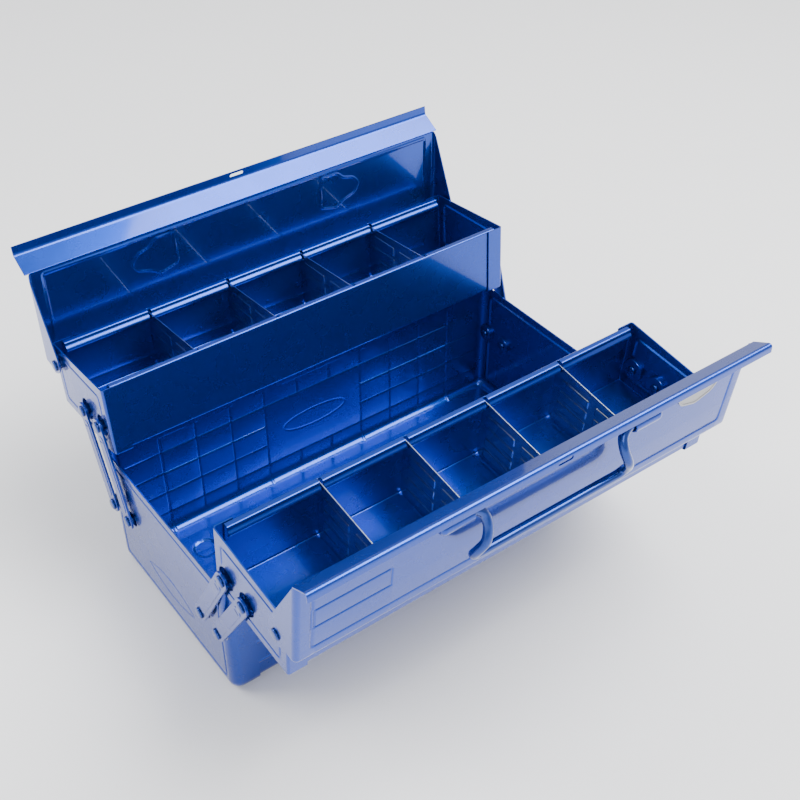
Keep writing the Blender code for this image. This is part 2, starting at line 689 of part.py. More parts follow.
def handle_brackets(side, lid_frame):
    """A sleeve on a rounded tab at each end of the handle."""
    for word, end in ends(side):
        name = "%s_handle_bracket_%s" % (side, word)
        shape = bmesh.new()
        half = BRACKET_WIDTH / 2
        outline = [(SLEEVE_INNER_X, half + 1 * MM), (SLEEVE_INNER_X, -half - 1 * MM),
                   (SLEEVE_OUTER_X, -half - 1 * MM)]
        outline += arc((BRACKET_TAB_X - 0.8 * half, 0.0), 0.8 * half, -90.0, 90.0, 5)
        outline += [(SLEEVE_OUTER_X, half + 1 * MM)]
        low = LID_PANEL_RISE + FIT_GAP
        face = shape.faces.new([shape.verts.new((end * x, -HANDLE_REACH + y, low)) for x, y in outline])
        grown = bmesh.ops.extrude_face_region(shape, geom=[face], use_keep_orig=True)
        moved = [part for part in grown["geom"] if isinstance(part, bmesh.types.BMVert)]
        bmesh.ops.translate(shape, vec=(0, 0, BRACKET_PLATE), verts=moved)
        item = placed(name, finished_mesh(name, shape), lid_frame, blue_paint)
        barrel = turned_x([
            (end * SLEEVE_INNER_X, 0.0), (end * SLEEVE_INNER_X, SLEEVE_RADIUS),
            (end * (SLEEVE_OUTER_X - 3 * MM), SLEEVE_RADIUS),
            (end * (SLEEVE_OUTER_X - 0.8 * MM), 0.75 * SLEEVE_RADIUS),
            (end * SLEEVE_OUTER_X, 0.4 * SLEEVE_RADIUS), (end * SLEEVE_OUTER_X, 0.0)], 12)
        bmesh.ops.translate(barrel, vec=(0, -HANDLE_REACH, HANDLE_RISE), verts=barrel.verts)
        boolean(item, tool_object(name + "_barrel", barrel), "UNION")
        bore = bmesh.new()
        add_cylinder_x(bore, SLEEVE_BORE_RADIUS, end * (SLEEVE_INNER_X - 2 * MM),
                       end * (ROD_END_X + 1 * MM), -HANDLE_REACH, HANDLE_RISE, 12)
        boolean(item, tool_object(name + "_bore", bore))


def smooth_points(points, steps):
    """Catmull-Rom points through a list of control points."""
    vectors = [Vector(point) for point in points]
    padded = [2 * vectors[0] - vectors[1]] + vectors + [2 * vectors[-1] - vectors[-2]]
    result = []
    for k in range(1, len(padded) - 2):
        a, b, c, d = padded[k - 1:k + 3]
        for step in range(steps):
            t = step / steps
            result.append(0.5 * ((2 * b) + (c - a) * t + (2 * a - 5 * b + 4 * c - d) * t * t
                                 + (3 * b - a - 3 * c + d) * t ** 3))
    result.append(vectors[-1])
    return result


def handle(side, frame):
    """A bent rod that hangs from its two sleeves."""
    half = [(x, out, -down) for x, out, down in HANDLE_HALF]
    bends = smooth_points(half[1:], 3)
    route = [Vector((-p.x, p.y, p.z)) for p in reversed(bends)] + bends
    name = side + "_handle"
    curve = bpy.data.curves.new(name, "CURVE")
    curve.dimensions = "3D"
    curve.bevel_depth = HANDLE_ROD_RADIUS
    curve.bevel_resolution = 2
    curve.use_fill_caps = True
    spline = curve.splines.new("POLY")
    spline.points.add(len(route) - 1)
    for point, place in zip(spline.points, route):
        point.co = (*place, 1.0)
    spline.use_smooth = True
    placed(name, curve, frame, dark_paint)


def badge(lid_frame):
    """A plain shield-shaped plate near the front lid's right end."""
    wide, tall = BADGE_SIZE
    top = [(-0.42 * wide, 0.5 * tall), (0.42 * wide, 0.5 * tall), (0.5 * wide, 0.12 * tall)]
    curve_down = [(0.36 * wide, -0.28 * tall), (0.0, -0.5 * tall), (-0.36 * wide, -0.28 * tall)]
    outline = top + curve_down + [(-0.5 * wide, 0.12 * tall)]
    shape = bmesh.new()
    low = LID_PANEL_RISE + FIT_GAP
    verts = [shape.verts.new((-BADGE_X - x, -BADGE_REACH - y, low)) for x, y in outline]
    face = shape.faces.new(verts)
    grown = bmesh.ops.extrude_face_region(shape, geom=[face], use_keep_orig=True)
    moved = [part for part in grown["geom"] if isinstance(part, bmesh.types.BMVert)]
    bmesh.ops.translate(shape, vec=(0, 0, BADGE_THICKNESS), verts=moved)
    placed("front_lid_badge", finished_mesh("front_lid_badge", shape), lid_frame, silver_plate)


def build_side(side):
    """One tray with its links, lid, handle and dividers."""
    half_turn = math.pi if side == "front" else 0.0
    side_frame = empty(side + "_side_frame", turn_z=half_turn)
    place, tilt = tray_place(SWING[side])
    tray_frame = empty(side + "_tray_frame", side_frame, (0, *place), turn_x=-tilt)
    lid_frame = empty(side + "_lid_frame", tray_frame, (0, LID_PIVOT_Y, LID_PIVOT_Z),
                      turn_x=-LID_OPEN[side])
    handle_frame = empty(side + "_handle_frame", lid_frame, (0, -HANDLE_REACH, HANDLE_RISE),
                         turn_x=tilt + LID_OPEN[side])
    tray_shell(side, tray_frame)
    tray_ends(side, tray_frame)
    dividers(side, tray_frame)
    links(side, side_frame, place, tilt)
    link_rivets(side, side_frame, tray_frame)
    for word, end in ends(side):
        rivet("%s_lid_rivet_%s" % (side, word), tray_frame, lid_rivet_profile(), end,
              LID_PIVOT_Y, LID_PIVOT_Z)
    lid(side, lid_frame)
    handle_brackets(side, lid_frame)
    handle(side, handle_frame)
    if side == "front":
        badge(lid_frame)


def main():
    """Build the toolbox."""
    clear_scene()
    base_shell()
    base_ends()
    for side in ("front", "rear"):
        build_side(side)


main()
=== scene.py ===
"""Shown model of a two-tray cantilever toolbox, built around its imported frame.

Run as a script.  The classes are laid out as an add-on, so that each group of
pieces can be made again from the 3D view's sidebar after a size is changed.
"""
import json
import math

import bmesh
import bpy
from bpy.props import FloatProperty, FloatVectorProperty, PointerProperty
from mathutils import Matrix, Vector


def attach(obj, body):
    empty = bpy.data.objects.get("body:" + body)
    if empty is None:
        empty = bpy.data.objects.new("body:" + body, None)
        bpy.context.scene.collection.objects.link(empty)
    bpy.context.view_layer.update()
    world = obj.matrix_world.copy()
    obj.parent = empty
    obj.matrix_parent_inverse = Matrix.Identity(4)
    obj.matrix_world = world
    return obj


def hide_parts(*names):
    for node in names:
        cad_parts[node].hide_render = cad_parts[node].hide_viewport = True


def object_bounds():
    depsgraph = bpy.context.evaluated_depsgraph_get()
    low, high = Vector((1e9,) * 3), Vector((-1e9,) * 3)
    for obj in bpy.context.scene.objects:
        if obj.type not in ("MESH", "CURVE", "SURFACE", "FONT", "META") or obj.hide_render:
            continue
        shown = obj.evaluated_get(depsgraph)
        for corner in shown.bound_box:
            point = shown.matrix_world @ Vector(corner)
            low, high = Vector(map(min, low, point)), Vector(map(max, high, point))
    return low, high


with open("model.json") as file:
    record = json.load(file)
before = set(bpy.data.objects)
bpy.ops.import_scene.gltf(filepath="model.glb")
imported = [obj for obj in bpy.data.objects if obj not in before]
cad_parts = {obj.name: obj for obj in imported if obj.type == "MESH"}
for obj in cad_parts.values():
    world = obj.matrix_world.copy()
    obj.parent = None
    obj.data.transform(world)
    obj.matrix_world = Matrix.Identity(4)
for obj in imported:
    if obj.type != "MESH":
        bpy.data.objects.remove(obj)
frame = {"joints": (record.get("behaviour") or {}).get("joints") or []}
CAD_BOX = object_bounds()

bl_info = {
    "name": "Cantilever Toolbox",
    "version": (1, 0, 0),
    "blender": (4, 5, 0),
    "location": "View3D > Sidebar > Toolbox",
    "description": "Builds the pressed, riveted and plated pieces of a two-tray toolbox",
    "category": "Object",
}

MM = 0.001
SIDES = ("front", "rear")
ROLES = ("outer", "inner")


def size(text, millimetres):
    """A length that a user may change."""
    return FloatProperty(
        name=text, description=text, default=millimetres * MM, unit="LENGTH", precision=5)


def colour(text, default):
    """A linear colour that a user may change."""
    return FloatVectorProperty(
        name=text, description=text, default=default, size=3, subtype="COLOR", min=0.0, max=1.0)


def in_mm(*points):
    """Points given in millimetres, in metres."""
    return tuple(tuple(number * MM for number in point) for point in points)


class ToolboxSheetSizes(bpy.types.PropertyGroup):
    """Sheet metal shared by the base, the trays and the lids."""
    sheet: size("Thickness of the painted sheet", 1.0)
    lap: size("How far a trough stands inside its end pans", 1.3)
    edge_round: size("Radius on the cut edges of the sheet", 0.28)
    bead_width: size("Width of a pressed line", 2.6)
    bead_height: size("Height of a pressed line", 0.8)


class ToolboxBaseSizes(bpy.types.PropertyGroup):
    """The box that the trays stand on."""
    length: size("Outside length of the box", 352.0)
    depth: size("Outside depth of the base", 168.0)
    height: size("Height of the base walls", 105.3)
    fold_radius: size("Radius between the walls and the floor", 9.5)
    corner_radius: size("Radius round the pressed ends", 8.0)
    cap_depth: size("How far the pressed ends wrap round", 20.0)
    hem_width: size("Width of the turned-in rim", 5.0)
    hem_drop: size("Drop of the turned-in rim", 6.0)
    foot_radius: size("Radius of the pressed feet", 9.0)
    dish_radius: size("Radius of the dishes at the link pivots", 6.0)
    block_pitch: size("Spacing of the pressed blocks along a wall", 30.0)
    block_rise: size("Spacing of the pressed blocks up a wall", 20.2)
    groove_width: size("Width of the lines between the blocks", 3.2)
    groove_depth: size("Depth of the lines between the blocks", 1.1)


class ToolboxTraySizes(bpy.types.PropertyGroup):
    """The two trays and their dividers."""
    depth: size("Depth of a tray", 83.5)
    inner_height: size("Height of the wall towards the middle", 56.5)
    outer_height: size("Height of the wall under the lid", 52.5)
    fold_radius: size("Radius between the walls and the floor", 2.0)
    corner_radius: size("Radius round the pressed ends", 6.5)
    cap_depth: size("How far the pressed ends wrap round", 14.0)
    hem_width: size("Width of the turned-in rim", 5.0)
    hem_drop: size("Drop of the turned-in rim", 8.0)
    hem_roll: size("How far the hem's round edge stands out", 2.2)
    dish_radius: size("Radius of the dishes at the link pivots", 8.0)
    slit: size("Width of the slits that hold the dividers", 2.6)
    divider_thickness: size("Thickness of the plated sheet", 0.8)
    divider_pitch: size("Spacing of the dividers", 67.25)
    divider_drop: size("How far a divider stands below the rim", 2.0)


class ToolboxPivotSizes(bpy.types.PropertyGroup):
    """Links and rivets."""
    dish_depth: size("Depth of the dishes at the pivots", 3.2)
    tray_pivot_z: size("Height of the link pivots on a tray", 20.3)
    tray_outer_y: size("Reach of the outer pivot on a tray", 37.4)
    tray_inner_y: size("Reach of the inner pivot on a tray", 13.2)
    link_width: size("Width of a link", 13.0)
    link_thickness: size("Thickness of a link", 1.6)
    link_x: size("Inner face of the links from the middle", 178.4)
    shank_radius: size("Radius of a rivet's shank", 2.2)
    head_radius: size("Radius of a rivet's head", 4.2)
    head_height: size("Height of a rivet's head", 1.6)
    shoulder_radius: size("Radius of a rivet's shoulder", 3.6)
    clearance: size("Gap between moving pieces", 0.3)


class ToolboxLidSizes(bpy.types.PropertyGroup):
    """The lids. Reach runs from the hinge to the lip, and rise is square to the panel."""
    pivot_y: size("Place of the lid hinge out along a tray", 76.5)
    pivot_z: size("Height of the lid hinge on a tray", 38.0)
    panel_rise: size("Panel above the hinge", 20.2)
    fold_reach: size("Fold where the lip starts", 67.5)
    half_length: size("Half the length over the wings", 179.5)
    pin_radius: size("Radius of the hinge pins", 2.0)
    hole_radius: size("Radius of the hinge holes", 2.3)
    lip_half_length: size("Half the length of the lip", 181.0)
    corner_radius: size("Radius round the panel", 6.4)
    slot_length: size("Length of the padlock slot", 12.0)
    slot_width: size("Width of the padlock slot", 3.0)


class ToolboxHandleSizes(bpy.types.PropertyGroup):
    """Carrying handles, their brackets and the badge."""
    reach: size("Handle axis along the lid", 60.0)
    rise: size("Handle axis above the hinge", 26.4)
    rod_radius: size("Radius of the bent rod", 3.3)
    sleeve_radius: size("Radius of the sleeves", 5.2)
    sleeve_bore: size("Radius of the hole in a sleeve", 3.9)
    sleeve_inner: size("Inner end of a sleeve", 64.0)
    sleeve_outer: size("Outer end of a sleeve", 88.0)
    tab_end: size("Outer end of a bracket's tab", 108.0)
    plate: size("Thickness of a bracket's plate", 1.2)
    plate_width: size("Width of a bracket's plate", 10.0)
    rod_end: size("End of the rod inside its sleeve", 84.0)
    badge_x: size("Badge along the lid", 133.0)
    badge_reach: size("Badge up the lid", 48.0)
    badge_length: size("Length of the badge", 40.0)
    badge_width: size("Width of the badge", 21.0)
    badge_thickness: size("Thickness of the badge", 0.8)


class ToolboxColours(bpy.types.PropertyGroup):
    """Finishes."""
    paint: colour("Metallic paint on the pressed sheet", (0.002, 0.042, 0.34))
    deep_paint: colour("Paint on the rods and rivets", (0.002, 0.035, 0.24))
    zinc: colour("Plated dividers", (0.42, 0.50, 0.60))
    silver: colour("Badge", (0.36, 0.36, 0.37))
    floor: colour("Studio floor", (0.8, 0.8, 0.8))


GROUPS = {
    "toolbox_sheet": ToolboxSheetSizes,
    "toolbox_base": ToolboxBaseSizes,
    "toolbox_tray": ToolboxTraySizes,
    "toolbox_pivot": ToolboxPivotSizes,
    "toolbox_lid": ToolboxLidSizes,
    "toolbox_handle": ToolboxHandleSizes,
    "toolbox_colours": ToolboxColours,
}

# Outline of a lid's wing, and of each lid's lip, as (reach, rise)
WING_OUTLINE = in_mm(
    (-8.4, 20.2), (-8.4, 12.0), (-8.4, 3.0), (-4.5, -5.0), (2.0, -8.5), (9.0, -6.8), (67.5, 13.4),
    (67.5, 20.2))
# The wings taper along this slope, from beside the hinge to just under the fold
WING_SLOPE = in_mm((9.0, -6.8), (66.5, 18.6))
LIP_PATHS = {
    "front": in_mm((75.8, 32.6), (69.8, 33.4)),
    "rear": in_mm((75.8, 35.6), (82.9, 36.4)),
}
SLOT_REACH = {"front": 72.6 * MM, "rear": 80.0 * MM}
# Pressed seat for a handle bracket, as (x, reach) for the right-hand one
SEAT_OUTLINE = in_mm(
    (101.6, 45.8), (96.1, 53.0), (86.3, 55.5), (81.1, 61.2), (65.6, 60.8), (64.5, 34.4),
    (79.4, 30.3), (86.9, 35.5), (97.5, 38.6))
# Half of a handle's centre line: along the box, out from the lid, and down
HANDLE_HALF = in_mm(
    (0.0, 0.0, 38.5), (46.0, 0.0, 38.5), (57.0, 0.3, 38.0), (61.5, 1.6, 35.0), (61.0, 5.0, 29.0),
    (57.5, 7.5, 21.5), (54.8, 5.5, 12.5), (55.5, 2.2, 5.0), (59.5, 0.4, 1.0), (64.5, 0.0, 0.0),
    (84.0, 0.0, 0.0))


# ---------------------------------------------------------------- places

def joint_place(name):
    """Where a joint of the frame stands, as (out, up) in its own side's frame."""
    for joint in frame["joints"]:
        if joint["name"] == name:
            return Vector((abs(joint["pos_m"][1]), joint["pos_m"][2]))
    raise RuntimeError("the frame has no joint " + name)


def side_matrix(side):
    """A side is modelled outwards along +Y; the front one is turned half round."""
    return Matrix.Rotation(math.pi if side == "front" else 0.0, 4, "Z")


def matched_matrix(side, local_a, local_b, place_a, place_b):
    """The turn about X, and the shift, that carry two local (y, z) points to their places."""
    local = Vector(local_b) - Vector(local_a)
    real = place_b - place_a
    turn = math.atan2(real.y, real.x) - math.atan2(local.y, local.x)
    here = Matrix.Translation((0.0, place_a.x, place_a.y))
    back = Matrix.Translation((0.0, -local_a[0], -local_a[1]))
    return side_matrix(side) @ here @ Matrix.Rotation(turn, 4, "X") @ back


def tray_matrix(scene, side):
    """From a tray's own frame to the row's frame."""
    pivot, lid = scene.toolbox_pivot, scene.toolbox_lid
    return matched_matrix(
        side, (pivot.tray_outer_y, pivot.tray_pivot_z), (lid.pivot_y, lid.pivot_z),
        joint_place(side + "_tray_tilt"), joint_place(side + "_lid_hinge"))


def lid_matrix(scene, side):
    """From a lid's frame, (x, -reach, rise) from its hinge, to the row's frame."""
    handle = scene.toolbox_handle
    return matched_matrix(
        side, (0.0, 0.0), (-handle.reach, handle.rise),
        joint_place(side + "_lid_hinge"), joint_place(side + "_handle_swing"))


def ends(side):
    """World names of a side's two ends, with the sign of X in that side's frame."""
    turned = -1 if side == "front" else 1
    return (("left", -turned), ("right", turned))


def divider_places(tray):
    """The four divider places along a tray."""
    return [(k - 1.5) * tray.divider_pitch for k in range(4)]


# ---------------------------------------------------------------- mesh helpers

def arc(centre, radius, start, end, steps):
    """Points on an arc, with angles in degrees."""
    points = []
    for k in range(steps + 1):
        angle = math.radians(start + (end - start) * k / steps)
        points.append((centre[0] + radius * math.cos(angle), centre[1] + radius * math.sin(angle)))
    return points


def rounded(points, radius, steps=4):
    """An open line with each inner corner turned into a short curve."""
    result = [points[0]]
    for before, here, after in zip(points, points[1:], points[2:]):
        here = Vector(here)
        toward = Vector(before) - here
        away = Vector(after) - here
        first = here + toward.normalized() * min(radius, 0.45 * toward.length)
        last = here + away.normalized() * min(radius, 0.45 * away.length)
        for k in range(steps + 1):
            t = k / steps
            result.append(tuple((1 - t) ** 2 * first + 2 * t * (1 - t) * here + t * t * last))
    result.append(points[-1])
    return result


def closed_rounded(points, radius, steps=4):
    """A closed line with every corner turned into a short curve."""
    looped = [points[-1]] + list(points) + [points[0]]
    return rounded(looped, radius, steps)[1:-1]


def extruded_line(points, low_x, high_x):
    """A surface that carries an open (y, z) line along X."""
    shape = bmesh.new()
    verts = [shape.verts.new((low_x, y, z)) for y, z in points]
    edges = [shape.edges.new(pair) for pair in zip(verts, verts[1:])]
    grown = bmesh.ops.extrude_edge_only(shape, edges=edges)
    bmesh.ops.translate(shape, vec=(high_x - low_x, 0, 0), verts=new_verts(grown))
    return shape


def new_verts(grown):
    """The points that an extrusion has made."""
    return [part for part in grown["geom"] if isinstance(part, bmesh.types.BMVert)]


def prism(ring, way):
    """A closed shape from a ring of points, carried along a vector."""
    shape = bmesh.new()
    face = shape.faces.new([shape.verts.new(point) for point in ring])
    grown = bmesh.ops.extrude_face_region(shape, geom=[face], use_keep_orig=True)
    bmesh.ops.translate(shape, vec=way, verts=new_verts(grown))
    bmesh.ops.recalc_face_normals(shape, faces=shape.faces)
    return shape


def plate(outline, low, thickness):
    """A closed plate from an (x, y) outline, standing up Z from a height."""
    return prism([(x, y, low) for x, y in outline], (0, 0, thickness))


def turned_x(profile, sides=36):
    """A turned piece about X from (x, radius) points that start and end on the axis."""
    shape = bmesh.new()
    verts = [shape.verts.new((x, 0.0, radius)) for x, radius in profile]
    edges = [shape.edges.new(pair) for pair in zip(verts, verts[1:])]
    bmesh.ops.spin(
        shape, geom=verts + edges, cent=(0, 0, 0), axis=(1, 0, 0), dvec=(0, 0, 0),
        angle=2 * math.pi, steps=sides, use_merge=True, use_duplicate=False)
    bmesh.ops.remove_doubles(shape, verts=shape.verts, dist=1e-6)
    bmesh.ops.recalc_face_normals(shape, faces=shape.faces)
    return shape


def bevel(shape, parts, radius, segments, affect="EDGES"):
    """Round some edges, or some corners, of a bmesh."""
    bmesh.ops.bevel(
        shape, geom=parts, offset=radius, offset_type="OFFSET", affect=affect,
        segments=segments, profile=0.5, material=-1, clamp_overlap=True)


def cut_across(shape, axis, places, reach=None):
    """Cut a surface square to an axis at each place; reach limits which faces are cut."""
    normal = Vector((0, 0, 0))
    normal[axis] = 1.0
    for place in sorted({round(p, 6) for p in places}):
        faces = [f for f in shape.faces if reach is None or reach(f.calc_center_median())]
        parts = set(faces)
        for face in faces:
            parts.update(face.edges)
            parts.update(face.verts)
        bmesh.ops.bisect_plane(
            shape, geom=list(parts), dist=1e-7, plane_co=normal * place, plane_no=normal)


def span(low, high, step):
    """Evenly spaced places from low to high."""
    count = max(1, round((high - low) / step))
    return [low + (high - low) * k / count for k in range(count + 1)]


def bead_cuts(width, *centres):
    """Where a surface is cut for pressed lines at some places."""
    return [centre + width * k / 4.0 for centre in centres for k in (-2, -1, 0, 1, 2)]


def bead(distance, width):
    """Height of a pressed line, from 0 to 1, at a distance from its middle."""
    if abs(distance) >= width / 2:
        return 0.0
    return 0.5 + 0.5 * math.cos(2 * math.pi * distance / width)


def ramp(distance, width):
    """0 outside a shape's edge, 1 once the distance inside passes the width."""
    t = min(1.0, max(0.0, distance / width))
    return t * t * (3 - 2 * t)


def inside_box(x, y, low_x, high_x, low_y, high_y, corner=0.0):
    """Distance inside a box with round corners; negative outside."""
    dx = abs(x - (low_x + high_x) / 2) - (high_x - low_x) / 2 + corner
    dy = abs(y - (low_y + high_y) / 2) - (high_y - low_y) / 2 + corner
    outside = math.hypot(max(dx, 0.0), max(dy, 0.0))
    return corner - outside - min(max(dx, dy), 0.0)


def loop_distance(x, y, loop):
    """Distance from a point to a closed line."""
    best = 1.0
    for (ax, ay), (bx, by) in zip(loop, loop[1:] + loop[:1]):
        dx, dy = bx - ax, by - ay
        t = ((x - ax) * dx + (y - ay) * dy) / (dx * dx + dy * dy)
        t = min(1.0, max(0.0, t))
        best = min(best, math.hypot(x - ax - t * dx, y - ay - t * dy))
    return best


def press(shape, height_at):
    """Move each point along its normal by height_at(place, normal)."""
    shape.normal_update()
    moves = [(vert, vert.normal * height_at(vert.co, vert.normal)) for vert in shape.verts]
    for vert, move in moves:
        vert.co += move


def face_down(shape):
    """Turn a trough's faces so that its floor looks down."""
    bmesh.ops.recalc_face_normals(shape, faces=shape.faces)
    shape.normal_update()
    lowest = min(shape.faces, key=lambda face: face.calc_center_median().z)
    if lowest.normal.z > 0.0:
        bmesh.ops.reverse_faces(shape, faces=shape.faces)


def tool_object(shape):
    """A passing shape for a Boolean."""
    mesh = bpy.data.meshes.new("tool")
    bmesh.ops.recalc_face_normals(shape, faces=shape.faces)
    shape.to_mesh(mesh)
    shape.free()
    item = bpy.data.objects.new("tool", mesh)
    bpy.context.scene.collection.objects.link(item)
    return item


def made_piece(name, shape, matrix, material, body, nodes, steps=(), sharp=35.0, thickness=None,
               edge_round=None):
    """Finish one piece: thickness, Booleans, round edges, shading, place, body and nodes."""
    mesh = bpy.data.meshes.new(name)
    shape.to_mesh(mesh)
    shape.free()
    piece = bpy.data.objects.new(name, mesh)
    bpy.context.scene.collection.objects.link(piece)
    if thickness is not None:
        solid = piece.modifiers.new("thickness", "SOLIDIFY")
        solid.thickness = thickness
        solid.offset = -1.0
        solid.use_even_offset = True
    if edge_round is not None:
        rounding = piece.modifiers.new("edges", "BEVEL")
        rounding.width = edge_round
        rounding.segments = 2
        rounding.limit_method = "ANGLE"
        rounding.angle_limit = math.radians(60.0)
    tools = []
    for operation, tool_shape in steps:
        tool = tool_object(tool_shape)
        tools.append(tool)
        cut = piece.modifiers.new(operation.lower(), "BOOLEAN")
        cut.operation = operation
        cut.solver = "EXACT"
        cut.object = tool
    if piece.modifiers:
        bpy.context.view_layer.update()
        graph = bpy.context.evaluated_depsgraph_get()
        final = bpy.data.meshes.new_from_object(piece.evaluated_get(graph), depsgraph=graph)
        piece.modifiers.clear()
        piece.data = final
        bpy.data.meshes.remove(mesh)
        final.name = name
        mesh = final
    for tool in tools:
        tool_mesh = tool.data
        bpy.data.objects.remove(tool, do_unlink=True)
        bpy.data.meshes.remove(tool_mesh)
    mesh.transform(matrix)
    mesh.materials.clear()
    mesh.materials.append(material)
    mesh.shade_smooth()
    mesh.set_sharp_from_angle(angle=math.radians(sharp))
    weighted = piece.modifiers.new("flat_faces_first", "WEIGHTED_NORMAL")
    weighted.keep_sharp = True
    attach(piece, body)
    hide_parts(*nodes)
    return piece


# ---------------------------------------------------------------- materials

def finish(name, build, *details):
    """A material by its name, built once."""
    return bpy.data.materials.get(name) or build(name, *details)


def shader_nodes(name):
    """A new material, with its node tree and its Principled shader."""
    material = bpy.data.materials.new(name)
    material.use_nodes = True
    tree = material.node_tree
    return material, tree, tree.nodes["Principled BSDF"]


def noise(tree, scale, detail, stretch=(1.0, 1.0, 1.0)):
    """A noise pattern on object coordinates."""
    place = tree.nodes.new("ShaderNodeTexCoord")
    mapping = tree.nodes.new("ShaderNodeMapping")
    mapping.inputs["Scale"].default_value = stretch
    pattern = tree.nodes.new("ShaderNodeTexNoise")
    pattern.inputs["Scale"].default_value = scale
    pattern.inputs["Detail"].default_value = detail
    tree.links.new(place.outputs["Object"], mapping.inputs["Vector"])
    tree.links.new(mapping.outputs["Vector"], pattern.inputs["Vector"])
    return pattern.outputs["Fac"]


def mapped(tree, value, low, high, new_low, new_high):
    """A value carried from one range to another."""
    node = tree.nodes.new("ShaderNodeMapRange")
    node.inputs["From Min"].default_value = low
    node.inputs["From Max"].default_value = high
    node.inputs["To Min"].default_value = new_low
    node.inputs["To Max"].default_value = new_high
    tree.links.new(value, node.inputs["Value"])
    return node.outputs["Result"]


def tinted(tree, value, low_colour, high_colour):
    """A colour that runs between two shades as a value runs from 0 to 1."""
    mix = tree.nodes.new("ShaderNodeMix")
    mix.data_type = "RGBA"
    colour_inputs = [s for s in mix.inputs if s.type == "RGBA"]
    colour_inputs[0].default_value = (*low_colour, 1.0)
    colour_inputs[1].default_value = (*high_colour, 1.0)
    tree.links.new(value, mix.inputs["Factor"])
    return [s for s in mix.outputs if s.type == "RGBA"][0]


def bumped(tree, value, strength, distance, before=None):
    """A bump from a value, on top of an earlier bump."""
    bump = tree.nodes.new("ShaderNodeBump")
    bump.inputs["Strength"].default_value = strength
    bump.inputs["Distance"].default_value = distance
    tree.links.new(value, bump.inputs["Height"])
    if before is not None:
        tree.links.new(before, bump.inputs["Normal"])
    return bump.outputs["Normal"]


def shade(tint, factor):
    """A tint made lighter or darker."""
    return tuple(min(1.0, channel * factor) for channel in tint)


def metallic_paint(name, tint, roughness, coat_ior):
    """Candy metallic paint: flakes under a clear coat with faint orange peel."""
    material, tree, shader = shader_nodes(name)
    flakes = noise(tree, 2600.0, 1.0)
    tree.links.new(
        tinted(tree, mapped(tree, flakes, 0.35, 0.65, 0.0, 1.0), shade(tint, 0.9), shade(tint, 1.12)),
        shader.inputs["Base Color"])
    patches = noise(tree, 45.0, 3.0)
    tree.links.new(
        mapped(tree, patches, 0.3, 0.7, roughness - 0.02, roughness + 0.03),
        shader.inputs["Roughness"])
    grain = bumped(tree, flakes, 0.03, 0.00002)
    tree.links.new(grain, shader.inputs["Normal"])
    peel = bumped(tree, noise(tree, 420.0, 1.0), 0.02, 0.00005)
    tree.links.new(peel, shader.inputs["Coat Normal"])
    shader.inputs["Metallic"].default_value = 0.85
    shader.inputs["Coat Weight"].default_value = 0.7
    shader.inputs["Coat Roughness"].default_value = 0.06
    shader.inputs["Coat IOR"].default_value = coat_ior
    return material


def zinc_plate(name, tint):
    """Thin plated sheet: soft clouds and small spangles."""
    material, tree, shader = shader_nodes(name)
    clouds = noise(tree, 38.0, 2.0)
    spangle = noise(tree, 320.0, 2.0)
    tree.links.new(
        tinted(tree, mapped(tree, spangle, 0.3, 0.7, 0.0, 1.0), shade(tint, 0.94), shade(tint, 1.06)),
        shader.inputs["Base Color"])
    tree.links.new(mapped(tree, clouds, 0.3, 0.7, 0.2, 0.26), shader.inputs["Roughness"])
    tree.links.new(bumped(tree, spangle, 0.02, 0.00003), shader.inputs["Normal"])
    shader.inputs["Metallic"].default_value = 1.0
    return material


def satin_silver(name, tint):
    """Fine-brushed silver lacquer."""
    material, tree, shader = shader_nodes(name)
    brush = noise(tree, 150.0, 3.0, (0.05, 8.0, 8.0))
    tree.links.new(
        tinted(tree, mapped(tree, brush, 0.3, 0.7, 0.0, 1.0), shade(tint, 0.85), shade(tint, 1.1)),
        shader.inputs["Base Color"])
    tree.links.new(mapped(tree, brush, 0.3, 0.7, 0.28, 0.42), shader.inputs["Roughness"])
    tree.links.new(bumped(tree, brush, 0.15, 0.00008), shader.inputs["Normal"])
    shader.inputs["Metallic"].default_value = 0.9
    return material


def studio_floor(name, tint):
    """Matt pale floor with a barely seen grain."""
    material, tree, shader = shader_nodes(name)
    grain = noise(tree, 12.0, 4.0)
    tree.links.new(tinted(tree, grain, shade(tint, 0.99), shade(tint, 1.01)), shader.inputs["Base Color"])
    shader.inputs["Roughness"].default_value = 0.6
    return material


def body_paint(scene):
    """The paint on the pressed sheet and the links."""
    return finish("blue_metallic_paint", metallic_paint, scene.toolbox_colours.paint, 0.27, 1.45)


def deep_paint(scene):
    """The paint on the rods and rivets."""
    return finish("deep_blue_paint", metallic_paint, scene.toolbox_colours.deep_paint, 0.25, 1.45)


# ---------------------------------------------------------------- troughs

def rim_line(wall, inward, top, width, drop, roll):
    """The turned-in rim of a wall, from the wall up, over and down to its hem."""
    r = 1.2 * MM
    points = []
    for angle in (0, 30, 60, 90):
        t = math.radians(angle)
        points.append((wall + inward * (r - r * math.cos(t)), top - r + r * math.sin(t)))
    for angle in (90, 60, 30, 0):
        t = math.radians(angle)
        points.append((wall + inward * (width - r + r * math.cos(t)), top - r + r * math.sin(t)))
    low = drop - r
    for k in range(1, 9):
        u = k / 8.0
        bulge = roll * max(0.0, math.sin(math.pi * min(1.0, max(0.0, (u - 0.2) / 0.8))))
        points.append((wall + inward * (width + bulge), top - r - low * u))
    return points


